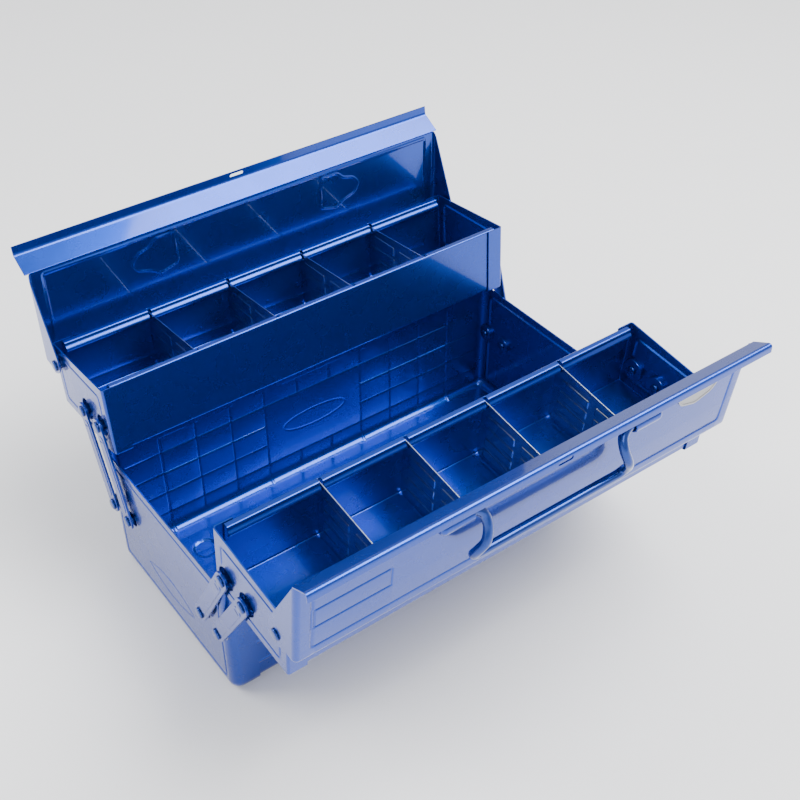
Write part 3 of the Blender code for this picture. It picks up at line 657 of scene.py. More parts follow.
def trough_line(low_y, high_y, low_z, left_top, right_top, radius, steps, width, drop, roll):
    """A trough across X from one hem, down its wall, along its floor and up to the other hem."""
    left = rim_line(low_y, 1.0, left_top, width, drop, roll)
    right = rim_line(high_y, -1.0, right_top, width, drop, roll)
    floor = arc((low_y + radius, low_z + radius), radius, 180.0, 270.0, steps)
    floor += arc((high_y - radius, low_z + radius), radius, 270.0, 360.0, steps)
    return left[::-1] + floor + right


def block_grooves(base):
    """Places of the grooves along X and up Z between the pressed blocks."""
    across = [(k - 4.5) * base.block_pitch for k in range(10)]
    up = [k * base.block_rise for k in range(1, 5)]
    return across, up


def wall_relief(base, place):
    """Depth of the grooves between the blocks at a place on a long wall, from 0 to 1."""
    across, up = block_grooves(base)
    edge = 5.5 * base.block_pitch - 1.0 * MM
    if abs(place.x) > edge or place.z < 5.0 * MM or place.z > base.height - 8.0 * MM:
        return 0.0
    blank_x = 1.5 * base.block_pitch
    in_blank = abs(place.x) < blank_x - 1e-5 and up[0] + 1e-5 < place.z < up[3] - 1e-5
    height = 0.0
    if not in_blank:
        height = max(bead(place.x - x, base.groove_width) for x in across)
    for z in up:
        height = max(height, bead(place.z - z, base.groove_width))
    if in_blank and up[0] + base.groove_width < place.z < up[3] - base.groove_width:
        return bead(abs(place.x) - blank_x, base.groove_width)
    return height


class TOOLBOX_OT_base_tub(bpy.types.Operator):
    """Front wall, floor and back wall with their blocks, gussets, feet and hems"""
    bl_idname = "toolbox.base_tub"
    bl_label = "Base tub"

    def execute(self, context):
        scene = context.scene
        sheet, base = scene.toolbox_sheet, scene.toolbox_base
        half = base.depth / 2 - sheet.lap
        radius = base.fold_radius - sheet.lap
        line = trough_line(
            -half, half, sheet.lap, base.height, base.height, radius, 9,
            base.hem_width, base.hem_drop, 0.0)
        half_length = base.length / 2 - base.corner_radius - 0.6 * MM
        shape = extruded_line(line, -half_length, half_length)
        face_down(shape)
        across, up = block_grooves(base)
        cuts_x = bead_cuts(base.groove_width, *across)
        edge = 5.5 * base.block_pitch - 1.0 * MM
        cuts_x += [-edge, -edge - 1.0 * MM, edge, edge + 1.0 * MM]
        foot_x, foot_y = 125.0 * MM, 48.0 * MM
        reach = base.foot_radius + 1.5 * MM
        cuts_x += span(foot_x - reach, foot_x + reach, 0.8 * MM)
        cuts_x += span(-foot_x - reach, -foot_x + reach, 0.8 * MM)
        panel_x, panel_y, slope = 60.0 * MM, 25.0 * MM, 1.6 * MM
        for sign in (-1, 1):
            cuts_x += [sign * (panel_x - slope * k / 3) for k in range(4)]
        oval_x, oval_z, oval_mid = 29.0 * MM, 8.0 * MM, 51.0 * MM
        cuts_x += span(-oval_x - 2 * MM, oval_x + 2 * MM, 0.75 * MM)
        cuts_z = bead_cuts(base.groove_width, *up)
        cuts_z += span(oval_mid - oval_z - 2 * MM, oval_mid + oval_z + 2 * MM, 0.75 * MM)
        cuts_z += [base.height - 8.0 * MM, base.height - 9.0 * MM]
        cuts_y = []
        for sign in (-1, 1):
            cuts_y += span(sign * foot_y - reach, sign * foot_y + reach, 0.8 * MM)
            cuts_y += [sign * (panel_y - slope * k / 3) for k in range(4)]
        cut_across(shape, 0, cuts_x)
        cut_across(shape, 2, cuts_z, lambda c: abs(c.y) > half - 1.0 * MM)
        cut_across(shape, 1, cuts_y, lambda c: c.z < sheet.lap + 0.1 * MM)
        gussets = [k * base.block_pitch for k in (-4.5, -1.5, 1.5, 4.5)]

        def relief(place, normal):
            if abs(normal.y) > 0.99 and abs(abs(place.y) - half) < 0.1 * MM:
                height = base.groove_depth * wall_relief(base, place)
                ring = math.hypot(place.x / oval_x, (place.z - oval_mid) / oval_z) - 1.0
                scaled = ring * oval_z / max(0.3, math.hypot(
                    place.x / oval_x * oval_z / oval_x, (place.z - oval_mid) / oval_z))
                return height + 0.28 * MM * bead(scaled, 2.0 * MM)
            if normal.z < -0.999 and place.z < sheet.lap + 0.1 * MM:
                depth = ramp(inside_box(place.x, place.y, -panel_x, panel_x, -panel_y, panel_y,
                                        2.0 * MM), slope)
                for x in (-foot_x, foot_x):
                    for y in (-foot_y, foot_y):
                        away = math.hypot(place.x - x, place.y - y)
                        depth = max(depth, ramp(base.foot_radius + 1.0 * MM - away, 1.8 * MM))
                return sheet.lap * depth
            if normal.z < -0.05 and normal.y != 0.0:
                folded = math.sin(2 * math.atan2(abs(normal.z), abs(normal.y)))
                near = max(bead(place.x - x, 1.4 * base.groove_width) for x in gussets)
                return -0.9 * MM * near * max(0.0, folded)
            return 0.0

        press(shape, relief)
        made_piece(
            "base_tub", shape, Matrix.Identity(4), body_paint(scene), "base",
            ["base_shell"], thickness=sheet.sheet, edge_round=sheet.edge_round)
        return {"FINISHED"}


class TOOLBOX_OT_tray_troughs(bpy.types.Operator):
    """The walls and floor of each tray, with rolled hems and divider slits"""
    bl_idname = "toolbox.tray_troughs"
    bl_label = "Tray troughs"

    def execute(self, context):
        scene = context.scene
        sheet, tray = scene.toolbox_sheet, scene.toolbox_tray
        half_length = scene.toolbox_base.length / 2 - tray.corner_radius - 0.6 * MM
        for side in SIDES:
            low_y, high_y = sheet.lap, tray.depth - sheet.lap
            line = trough_line(
                low_y, high_y, sheet.lap, tray.inner_height, tray.outer_height,
                tray.fold_radius, 4, tray.hem_width, tray.hem_drop, tray.hem_roll)
            shape = extruded_line(line, -half_length, half_length)
            face_down(shape)
            cuts_x = []
            for x in divider_places(tray):
                cuts_x += [x - tray.slit / 2, x + tray.slit / 2]
            line_x = half_length - 12.0 * MM
            line_z = 12.0 * MM
            dimples = [k * divider_places(tray)[3] * 0.6 for k in range(-2, 3)]
            dimple_z, dimple_width = 18.0 * MM, 3.6 * MM
            cuts_x += bead_cuts(sheet.bead_width, line_x, -line_x) + bead_cuts(dimple_width, *dimples)
            cut_across(shape, 0, cuts_x)
            cut_across(shape, 2, bead_cuts(sheet.bead_width, line_z) + bead_cuts(dimple_width, dimple_z),
                       lambda c: c.y > high_y - 0.5 * MM)
            slit_faces = [
                face for face in shape.faces
                if in_slit(face.calc_center_median(), tray, low_y, high_y)]
            bmesh.ops.delete(shape, geom=slit_faces, context="FACES")

            def relief(place, normal):
                if normal.y < 0.99 or place.z > 30.0 * MM:
                    return 0.0
                height = 0.0
                if abs(place.x) <= line_x:
                    height = bead(place.z - line_z, sheet.bead_width)
                dimple = max(
                    bead(math.hypot(place.x - x, place.z - dimple_z), dimple_width) for x in dimples)
                return sheet.bead_height * max(height, 0.8 * dimple)

            press(shape, relief)
            made_piece(
                side + "_tray_trough", shape, tray_matrix(scene, side), body_paint(scene),
                side + "_tray", [side + "_tray_shell"],
                thickness=sheet.sheet, edge_round=sheet.edge_round)
        return {"FINISHED"}


def in_slit(centre, tray, low_y, high_y):
    """True for a piece of hem that a divider's slit takes away."""
    if all(abs(centre.x - x) > tray.slit / 2 for x in divider_places(tray)):
        return False
    step = 1.5 * MM
    inner = low_y + step < centre.y < low_y + 4 * tray.hem_width
    outer = high_y - 4 * tray.hem_width < centre.y < high_y - step
    top = tray.inner_height if inner else tray.outer_height
    return (inner or outer) and centre.z > top - tray.hem_drop - 1.0 * MM


# ---------------------------------------------------------------- pressed ends

def pan(outline, corner_radius, depth, segments):
    """A pressed end pan: a closed end at x = 0 and walls that run back to x = -depth.

    The outline is open at the top, so its first and last points are the rims.
    """
    shape = bmesh.new()
    verts = [shape.verts.new((0.0, y, z)) for y, z in outline]
    end_face = shape.faces.new(verts)
    top = {verts[0], verts[-1]}
    rim_edges = [edge for edge in end_face.edges if set(edge.verts) != top]
    grown = bmesh.ops.extrude_edge_only(shape, edges=rim_edges)
    bmesh.ops.translate(shape, vec=(-depth, 0, 0), verts=new_verts(grown))
    bmesh.ops.recalc_face_normals(shape, faces=shape.faces)
    bevel(shape, rim_edges, corner_radius, segments)
    shape.normal_update()
    largest = max(shape.faces, key=lambda face: face.calc_area())
    if largest.normal.x < 0.0:
        bmesh.ops.reverse_faces(shape, faces=shape.faces)
    return shape


def dish_tools(places, radius, depth, sheet, bore, holes=()):
    """The outside of the cups, then their round-lipped hollows with the rivet holes."""
    cups, hollows = bmesh.new(), bmesh.new()
    lip = 0.9 * MM
    cup = ((-0.45 * sheet, 0.0), (-0.45 * sheet, radius + sheet), (-depth, radius + sheet),
           (-depth - 0.7 * sheet, radius + 0.7 * sheet), (-depth - sheet, radius), (-depth - sheet, 0.0))
    hollow = ((2.0 * MM, 0.0), (2.0 * MM, radius + lip), (0.0, radius + lip),
              (-0.12 * lip, radius + 0.5 * lip), (-0.4 * lip, radius + 0.15 * lip), (-lip, radius),
              (-depth + 0.9 * MM, radius), (-depth + 0.3 * MM, radius - 0.25 * MM),
              (-depth, radius - 0.9 * MM), (-depth, bore), (-8.0 * MM, bore), (-8.0 * MM, 0.0))
    for y, z in places:
        add_turned(cups, cup, y, z)
        add_turned(hollows, hollow, y, z)
    for y, z, hole in holes:
        add_turned(hollows, ((8 * MM, 0.0), (8 * MM, hole), (-8 * MM, hole), (-8 * MM, 0.0)), y, z)
    return [("UNION", cups), ("DIFFERENCE", hollows)]


def add_turned(target, profile, y, z, sides=48):
    """Add a turned shape about X to a bmesh."""
    piece = turned_x(profile, sides)
    bmesh.ops.translate(piece, vec=(0, y, z), verts=piece.verts)
    mesh = bpy.data.meshes.new("turned")
    piece.to_mesh(mesh)
    piece.free()
    target.from_mesh(mesh)
    bpy.data.meshes.remove(mesh)


def end_relief(shape, frame_box, width, height, keep_clear=(), clear_radius=0.0, extra=None,
               extra_box=None, pitch=0.75 * MM):
    """Press a rectangular line, and one more raised shape, into an end pan's flat face.

    The line fades out round each place that is kept clear.
    """
    low_y, high_y, low_z, high_z = frame_box

    def flat(c):
        return c.x > -0.05 * MM

    corner = 3.0 * MM
    cuts_y = bead_cuts(width, low_y, high_y)
    cuts_z = bead_cuts(width, low_z, high_z)
    for step in (1.0 * MM, 2.0 * MM, 3.0 * MM):
        cuts_y += [low_y + step, high_y - step]
        cuts_z += [low_z + step, high_z - step]
    reach = clear_radius + 5.0 * MM
    for y, z in keep_clear:
        if min(abs(y - low_y), abs(y - high_y)) < clear_radius:
            cuts_z += span(z - reach, z + reach, 1.3 * MM)
    if extra_box is not None:
        cuts_y += span(extra_box[0], extra_box[1], pitch)
        cuts_z += span(extra_box[2], extra_box[3], pitch)
    cut_across(shape, 1, cuts_y, flat)
    cut_across(shape, 2, cuts_z, flat)

    def relief(place, normal):
        if normal.x < 0.999 or place.x < -0.05 * MM:
            return 0.0
        away = inside_box(place.y, place.z, low_y, high_y, low_z, high_z, corner)
        raised = bead(away, width)
        for y, z in keep_clear:
            raised *= ramp(math.hypot(place.y - y, place.z - z) - clear_radius, 3.0 * MM)
        if extra is not None:
            raised = max(raised, extra(place.y, place.z))
        return -height * raised

    press(shape, relief)


class TOOLBOX_OT_base_ends(bpy.types.Operator):
    """The two pressed ends of the base, with dishes, border lines and a plain oval"""
    bl_idname = "toolbox.base_ends"
    bl_label = "Base ends"

    def execute(self, context):
        scene = context.scene
        sheet, base, pivot = scene.toolbox_sheet, scene.toolbox_base, scene.toolbox_pivot
        half = base.depth / 2
        radius = base.fold_radius
        outline = [(-half, base.height)]
        outline += arc((-half + radius, radius), radius, 180.0, 270.0, 8)
        outline += arc((half - radius, radius), radius, 270.0, 360.0, 8)
        outline += [(half, base.height)]
        pivots = []
        for name in ("_swing", "_inner_swing"):
            for side, sign in (("front", -1), ("rear", 1)):
                place = joint_place(side + name)
                pivots.append((sign * place.x, place.y))
        bore = pivot.shank_radius + pivot.clearance
        for word, end in (("left", -1), ("right", 1)):
            shape = pan(outline, base.corner_radius, base.cap_depth, 7)
            half_y, half_z, mid_z = 33.0 * MM, 8.0 * MM, 33.0 * MM
            # Two arcs of this radius meet in the pointed outline
            lens_radius = (half_y ** 2 + half_z ** 2) / (2.0 * half_z)

            def lens(y, z):
                away = math.hypot(y, abs(z - mid_z) + lens_radius - half_z) - lens_radius
                return 0.6 * bead(away, 2.0 * MM) if abs(y) < half_y else 0.0

            end_relief(
                shape, (-half + 10.5 * MM, half - 10.5 * MM, 10.5 * MM, base.height - 7 * MM),
                sheet.bead_width, sheet.bead_height, pivots, base.dish_radius + 2.0 * MM,
                lens if end < 0 else None,
                (-half_y - 2 * MM, half_y + 2 * MM, mid_z - half_z - 2 * MM, mid_z + half_z + 2 * MM))
            matrix = Matrix.Translation((end * base.length / 2, 0, 0))
            steps = dish_tools(pivots, base.dish_radius, pivot.dish_depth, sheet.sheet, bore)
            flip_for(end, shape, steps)
            made_piece(
                "base_end_pan_" + word, shape, matrix, body_paint(scene), "base",
                ["base_end_" + word], steps=steps, thickness=sheet.sheet,
                edge_round=sheet.edge_round)
        return {"FINISHED"}


def flip_for(end, shape, steps):
    """Mirror a right-hand shape and its tools in X for the left-hand end."""
    if end > 0:
        return
    for item in [shape] + [tool for _, tool in steps]:
        bmesh.ops.scale(item, vec=(-1.0, 1.0, 1.0), verts=item.verts)
        bmesh.ops.reverse_faces(item, faces=item.faces)


class TOOLBOX_OT_tray_ends(bpy.types.Operator):
    """The pressed ends of both trays, with dishes and a border line"""
    bl_idname = "toolbox.tray_ends"
    bl_label = "Tray ends"

    def execute(self, context):
        scene = context.scene
        sheet, tray, pivot = scene.toolbox_sheet, scene.toolbox_tray, scene.toolbox_pivot
        lid = scene.toolbox_lid
        r = tray.fold_radius
        outline = [(0.0, tray.inner_height)]
        outline += arc((r, r), r, 180.0, 270.0, 3)
        outline += arc((tray.depth - r, r), r, 270.0, 360.0, 3)
        outline += [(tray.depth, tray.outer_height)]
        pivots = [(pivot.tray_outer_y, pivot.tray_pivot_z), (pivot.tray_inner_y, pivot.tray_pivot_z)]
        bore = pivot.shank_radius + pivot.clearance
        holes = [(lid.pivot_y, lid.pivot_z, lid.hole_radius)]
        for side in SIDES:
            for word, end in ends(side):
                shape = pan(outline, tray.corner_radius, tray.cap_depth, 6)
                end_relief(
                    shape, (9.0 * MM, tray.depth - 8.5 * MM, 8.5 * MM, tray.outer_height - 5.5 * MM),
                    sheet.bead_width, sheet.bead_height, pivots, tray.dish_radius + 1.0 * MM)
                steps = dish_tools(
                    pivots, tray.dish_radius, pivot.dish_depth, sheet.sheet, bore, holes)
                flip_for(end, shape, steps)
                shift = Matrix.Translation((end * scene.toolbox_base.length / 2, 0, 0))
                bmesh.ops.transform(shape, matrix=shift, verts=shape.verts)
                for _, tool in steps:
                    bmesh.ops.transform(tool, matrix=shift, verts=tool.verts)
                made_piece(
                    "%s_tray_pan_%s" % (side, word), shape, tray_matrix(scene, side),
                    body_paint(scene), side + "_tray", ["%s_tray_end_%s" % (side, word)],
                    steps=steps, thickness=sheet.sheet, edge_round=sheet.edge_round)
        return {"FINISHED"}


# ---------------------------------------------------------------- dividers

class TOOLBOX_OT_dividers(bpy.types.Operator):
    """Eight plated dividers with two columns of pressed blocks"""
    bl_idname = "toolbox.dividers"
    bl_label = "Dividers"

    def execute(self, context):
        scene = context.scene
        sheet, tray = scene.toolbox_sheet, scene.toolbox_tray
        low = sheet.lap + sheet.sheet + 0.3 * MM
        high = tray.depth - low
        corner = 3.0 * MM
        inner_top = tray.inner_height - tray.divider_drop
        outer_top = tray.outer_height - tray.divider_drop
        outline = [(low, low + corner), (low, inner_top), (high, outer_top), (high, low + corner),
                   (high - corner, low), (low + corner, low)]
        blocks = []
        for first, last in ((9.0 * MM, 38.5 * MM), (44.5 * MM, 74.0 * MM)):
            for row in range(4):
                bottom = 5.5 * MM + row * 10.6 * MM
                blocks.append((first, last, bottom, bottom + 8.2 * MM))
        slope = 0.9 * MM
        cuts_y, cuts_z = [], []
        for first, last, bottom, top in blocks:
            for edge, sign in ((first, 1), (last, -1)):
                cuts_y += [edge + sign * slope * k / 2 for k in range(6)]
            for edge, sign in ((bottom, 1), (top, -1)):
                cuts_z += [edge + sign * slope * k / 2 for k in range(4)]
        pip_y, pip_z = high - 5.0 * MM, outer_top - 4.0 * MM
        cuts_y += span(pip_y - 1.5 * MM, pip_y + 1.5 * MM, 0.5 * MM)
        cuts_z += span(pip_z - 1.5 * MM, pip_z + 1.5 * MM, 0.5 * MM)

        def relief(place, normal):
            height = bead(math.hypot(place.y - pip_y, place.z - pip_z), 2.8 * MM)
            for first, last, bottom, top in blocks:
                height = max(height, ramp(
                    inside_box(place.y, place.z, first, last, bottom, top, 1.6 * MM), slope))
            return 0.55 * MM * height

        for side in SIDES:
            order = divider_places(tray)
            if side == "front":
                order = order[::-1]
            for number, x in enumerate(order, start=1):
                shape = bmesh.new()
                shape.faces.new([shape.verts.new((0.0, y, z)) for y, z in outline])
                shape.normal_update()
                facing = shape.faces[:][0].normal.x
                wanted = 1.0 if side == "front" else -1.0
                if facing * wanted < 0.0:
                    bmesh.ops.reverse_faces(shape, faces=shape.faces)
                cut_across(shape, 1, cuts_y)
                cut_across(shape, 2, cuts_z)
                press(shape, relief)
                bmesh.ops.translate(
                    shape, vec=(x + wanted * tray.divider_thickness / 2, 0, 0), verts=shape.verts)
                made_piece(
                    "%s_divider_plate_%d" % (side, number), shape, tray_matrix(scene, side),
                    finish("zinc_plated_sheet", zinc_plate, scene.toolbox_colours.zinc),
                    "%s_divider_%d_body" % (side, number),
                    ["%s_divider_%d" % (side, number)], thickness=tray.divider_thickness,
                    edge_round=0.2 * MM)
        return {"FINISHED"}


# ---------------------------------------------------------------- links and rivets

def stadium(length, radius, steps=14):
    """A round-ended outline from the origin up the second axis."""
    return (arc((0.0, 0.0), radius, 180.0, 360.0, steps)
            + arc((0.0, length), radius, 0.0, 180.0, steps))


def moved_box(low, high, radius, segments=3):
    """A closed box with all its edges rounded."""
    shape = bmesh.new()
    extent = [high[k] - low[k] for k in range(3)]
    middle = [0.5 * (high[k] + low[k]) for k in range(3)]
    bmesh.ops.create_cube(
        shape, size=1.0, matrix=Matrix.Translation(middle) @ Matrix.Diagonal((*extent, 1.0)))
    bevel(shape, shape.edges[:], radius, segments)
    return shape


class TOOLBOX_OT_links(bpy.types.Operator):
    """Eight stamped links with round edges, a raised pad and a slot mark"""
    bl_idname = "toolbox.links"
    bl_label = "Links"

    def execute(self, context):
        scene = context.scene
        pivot = scene.toolbox_pivot
        # An outline in (x, y) stands up Z; this turns it to (y, z) with X as its thickness
        upright = Matrix(((0, 0, 1, 0), (1, 0, 0, 0), (0, 1, 0, 0), (0, 0, 0, 1)))
        for side in SIDES:
            tray = side_matrix(side).inverted() @ tray_matrix(scene, side)
            for role in ROLES:
                base_name = "_swing" if role == "outer" else "_inner_swing"
                start = joint_place(side + base_name)
                tray_y = pivot.tray_outer_y if role == "outer" else pivot.tray_inner_y
                far = tray @ Vector((0.0, tray_y, pivot.tray_pivot_z))
                along = Vector((far.y - start.x, far.z - start.y))
                length = along.length
                lean = math.atan2(along.x, along.y)
                for word, end in ends(side):
                    shape = plate(stadium(length, pivot.link_width / 2), 0.0, pivot.link_thickness)
                    outer_edges = [e for e in shape.edges if all(v.co.z > 0.5 * MM for v in e.verts)]
                    bevel(shape, outer_edges, 0.45 * MM, 3)
                    pad = plate(
                        [(x, y + 11 * MM) for x, y in stadium(length - 22 * MM, 3.9 * MM)],
                        pivot.link_thickness - 0.6 * MM, 1.0 * MM)
                    pad_edges = [e for e in pad.edges
                                 if all(v.co.z > pivot.link_thickness for v in e.verts)]
                    bevel(pad, pad_edges, 0.35 * MM, 3)
                    slot = moved_box(
                        (-2.6 * MM, length - 12.2 * MM, pivot.link_thickness),
                        (2.6 * MM, length - 11.0 * MM, pivot.link_thickness + 2 * MM), 0.3 * MM)
                    bores = bmesh.new()
                    bore = pivot.shank_radius + pivot.clearance
                    for y in (0.0, length):
                        bmesh.ops.create_cone(
                            bores, cap_ends=True, segments=32, radius1=bore, radius2=bore,
                            depth=6 * MM, matrix=Matrix.Translation((0, y, 0)))
                    steps = [("UNION", pad), ("DIFFERENCE", slot), ("DIFFERENCE", bores)]
                    for item in [shape] + [tool for _, tool in steps]:
                        bmesh.ops.transform(item, matrix=upright, verts=item.verts)
                    flip_for(end, shape, steps)
                    place = (side_matrix(side)
                             @ Matrix.Translation((end * pivot.link_x, start.x, start.y))
                             @ Matrix.Rotation(-lean, 4, "X"))
                    made_piece(
                        "%s_%s_strap_%s" % (side, role, word), shape, place, body_paint(scene),
                        "%s_%s_links" % (side, role),
                        ["%s_%s_link_%s" % (side, role, word)], steps=steps)
        return {"FINISHED"}


def dome(base_x, radius, height, steps=6):
    """Profile points of a shallow domed head, out from its rim to the axis."""
    points = [(base_x, radius), (base_x + 0.35 * height, radius)]
    for k in range(1, steps):
        t = math.pi / 2 * k / steps
        points.append((base_x + height * (0.35 + 0.65 * math.sin(t)), radius * math.cos(t) ** 0.6))
    points.append((base_x + height, 0.0))
    return points


class TOOLBOX_OT_rivets(bpy.types.Operator):
    """The shouldered rivets of the links and the lids, with domed and peened heads"""
    bl_idname = "toolbox.rivets"
    bl_label = "Rivets"

    def execute(self, context):
        scene = context.scene
        for side in SIDES:
            tray = side_matrix(side).inverted() @ tray_matrix(scene, side)
            for word, end in ends(side):
                for role in ROLES:
                    self.link_rivets(scene, side, word, end, role, tray)
                self.lid_rivet(scene, side, word, end)
        return {"FINISHED"}

    def rivet(self, scene, name, profile, side, end, place, body, node):
        """One turned rivet on an end of the box."""
        shape = turned_x([(end * x, radius) for x, radius in profile])
        matrix = side_matrix(side) @ Matrix.Translation((0.0, place.x, place.y))
        made_piece(name, shape, matrix, deep_paint(scene), body, [node], sharp=50.0)

    def link_rivets(self, scene, side, word, end, role, tray):
        """The rivets at both ends of one link."""
        pivot, sheet = scene.toolbox_pivot, scene.toolbox_sheet.sheet
        gap = pivot.clearance
        floor = scene.toolbox_base.length / 2 - pivot.dish_depth
        back = floor - sheet - gap
        outside = pivot.link_x + pivot.link_thickness + gap
        peened = pivot.head_radius - 0.6 * MM
        profile = [
            (back - pivot.head_height, 0.0), (back - pivot.head_height, 0.7 * peened),
            (back - 0.7 * pivot.head_height, 0.95 * peened), (back - 0.4 * MM, peened),
            (back, peened), (back, pivot.shank_radius), (floor + gap, pivot.shank_radius),
            (floor + gap, pivot.shoulder_radius), (pivot.link_x - gap, pivot.shoulder_radius),
            (pivot.link_x - gap, pivot.shank_radius), (outside, pivot.shank_radius)]
        profile += dome(outside, pivot.head_radius, pivot.head_height)
        stem = "%s_%s_link_%s" % (side, role, word)
        start = joint_place(side + ("_swing" if role == "outer" else "_inner_swing"))
        self.rivet(scene, stem + "_lower_pin", profile, side, end, start, "base",
                   stem + "_base_rivet")
        tray_y = pivot.tray_outer_y if role == "outer" else pivot.tray_inner_y
        far = tray @ Vector((0.0, tray_y, pivot.tray_pivot_z))
        self.rivet(scene, stem + "_upper_pin", profile, side, end, Vector((far.y, far.z)),
                   side + "_tray", stem + "_tray_rivet")

    def lid_rivet(self, scene, side, word, end):
        """The rivet that a lid's wing turns on."""
        pivot, sheet, lid = scene.toolbox_pivot, scene.toolbox_sheet.sheet, scene.toolbox_lid
        gap = pivot.clearance
        wall = scene.toolbox_base.length / 2
        pin = lid.pin_radius
        wing = lid.half_length
        profile = [
            (wall - 1.8 * sheet, 0.0), (wall - 1.8 * sheet, 0.7 * pin), (wall - 1.5 * sheet, pin),
            (wall + gap, pin), (wall + gap, pivot.shoulder_radius),
            (wing - sheet - gap, pivot.shoulder_radius), (wing - sheet - gap, pin), (wing + gap, pin)]
        profile += dome(wing + gap, pivot.head_radius, pivot.head_height)
        node = "%s_lid_rivet_%s" % (side, word)
        self.rivet(scene, "%s_lid_pin_%s" % (side, word), profile, side, end,
                   joint_place(side + "_lid_hinge"), side + "_tray", node)


# ---------------------------------------------------------------- lids

def lid_surface(scene):
    """A lid's outer surface: panel, turned-down edge, wings and round ends."""
    lid = scene.toolbox_lid
    shape = bmesh.new()
    rows = {}
    for end in (-1, 1):
        rows[end] = [
            shape.verts.new((end * lid.half_length, -reach, rise)) for reach, rise in WING_OUTLINE]
    shape.faces.new(rows[-1])
    shape.faces.new(rows[1])
    shape.faces.new((rows[-1][0], rows[-1][-1], rows[1][-1], rows[1][0]))
    shape.faces.new((rows[-1][0], rows[-1][1], rows[1][1], rows[1][0]))
    free_corners = rows[-1][3:-2] + rows[1][3:-2]
    bmesh.ops.recalc_face_normals(shape, faces=shape.faces)
    corner = []
    for edge in shape.edges:
        both = {edge.verts[0], edge.verts[1]}
        for end in (-1, 1):
            if both == {rows[end][0], rows[end][-1]} or both == {rows[end][0], rows[end][1]}:
                corner.append(edge)
        if both == {rows[-1][0], rows[1][0]}:
            corner.append(edge)
    bevel(shape, corner, lid.corner_radius, 7)
    bevel(shape, [v for v in free_corners if v.is_valid], 3.6 * MM, 5, "VERTICES")
    (low_reach, low_rise), (high_reach, high_rise) = WING_SLOPE
    along = Vector((0.0, low_reach - high_reach, high_rise - low_rise)).normalized()
    bmesh.ops.bisect_plane(
        shape, geom=shape.verts[:] + shape.edges[:] + shape.faces[:], dist=1e-7,
        plane_co=(0.0, -low_reach, low_rise), plane_no=(0.0, -along.z, along.y), clear_outer=True)
    bmesh.ops.recalc_face_normals(shape, faces=shape.faces)
    shape.normal_update()
    largest = max(shape.faces, key=lambda face: face.calc_area())
    if largest.normal.z < 0.0:
        bmesh.ops.reverse_faces(shape, faces=shape.faces)
    return shape


def folded_lip(lid, sheet, path):
    """The lip as a closed strip with round edges; it runs past the lid's round ends."""
    line = rounded(((lid.fold_reach - 0.1 * MM, lid.panel_rise - 0.4 * MM),) + tuple(path), 2.4 * MM, 6)
    outer, inner = [], []
    for k, here in enumerate(line):
        before, after = line[max(0, k - 1)], line[min(len(line) - 1, k + 1)]
        along = (Vector(after) - Vector(before)).normalized()
        off = Vector((along.y, -along.x))
        outer.append(tuple(here))
        inner.append(tuple(Vector(here) + off * sheet.sheet))
    ring = [(-lid.lip_half_length, -reach, rise) for reach, rise in outer + inner[::-1]]
    shape = prism(ring, (2 * lid.lip_half_length, 0, 0))
    rims = [e for e in shape.edges if len(e.link_faces) == 2 and e.calc_face_angle() > math.radians(60)]
    bevel(shape, rims, sheet.edge_round, 2)
    return shape


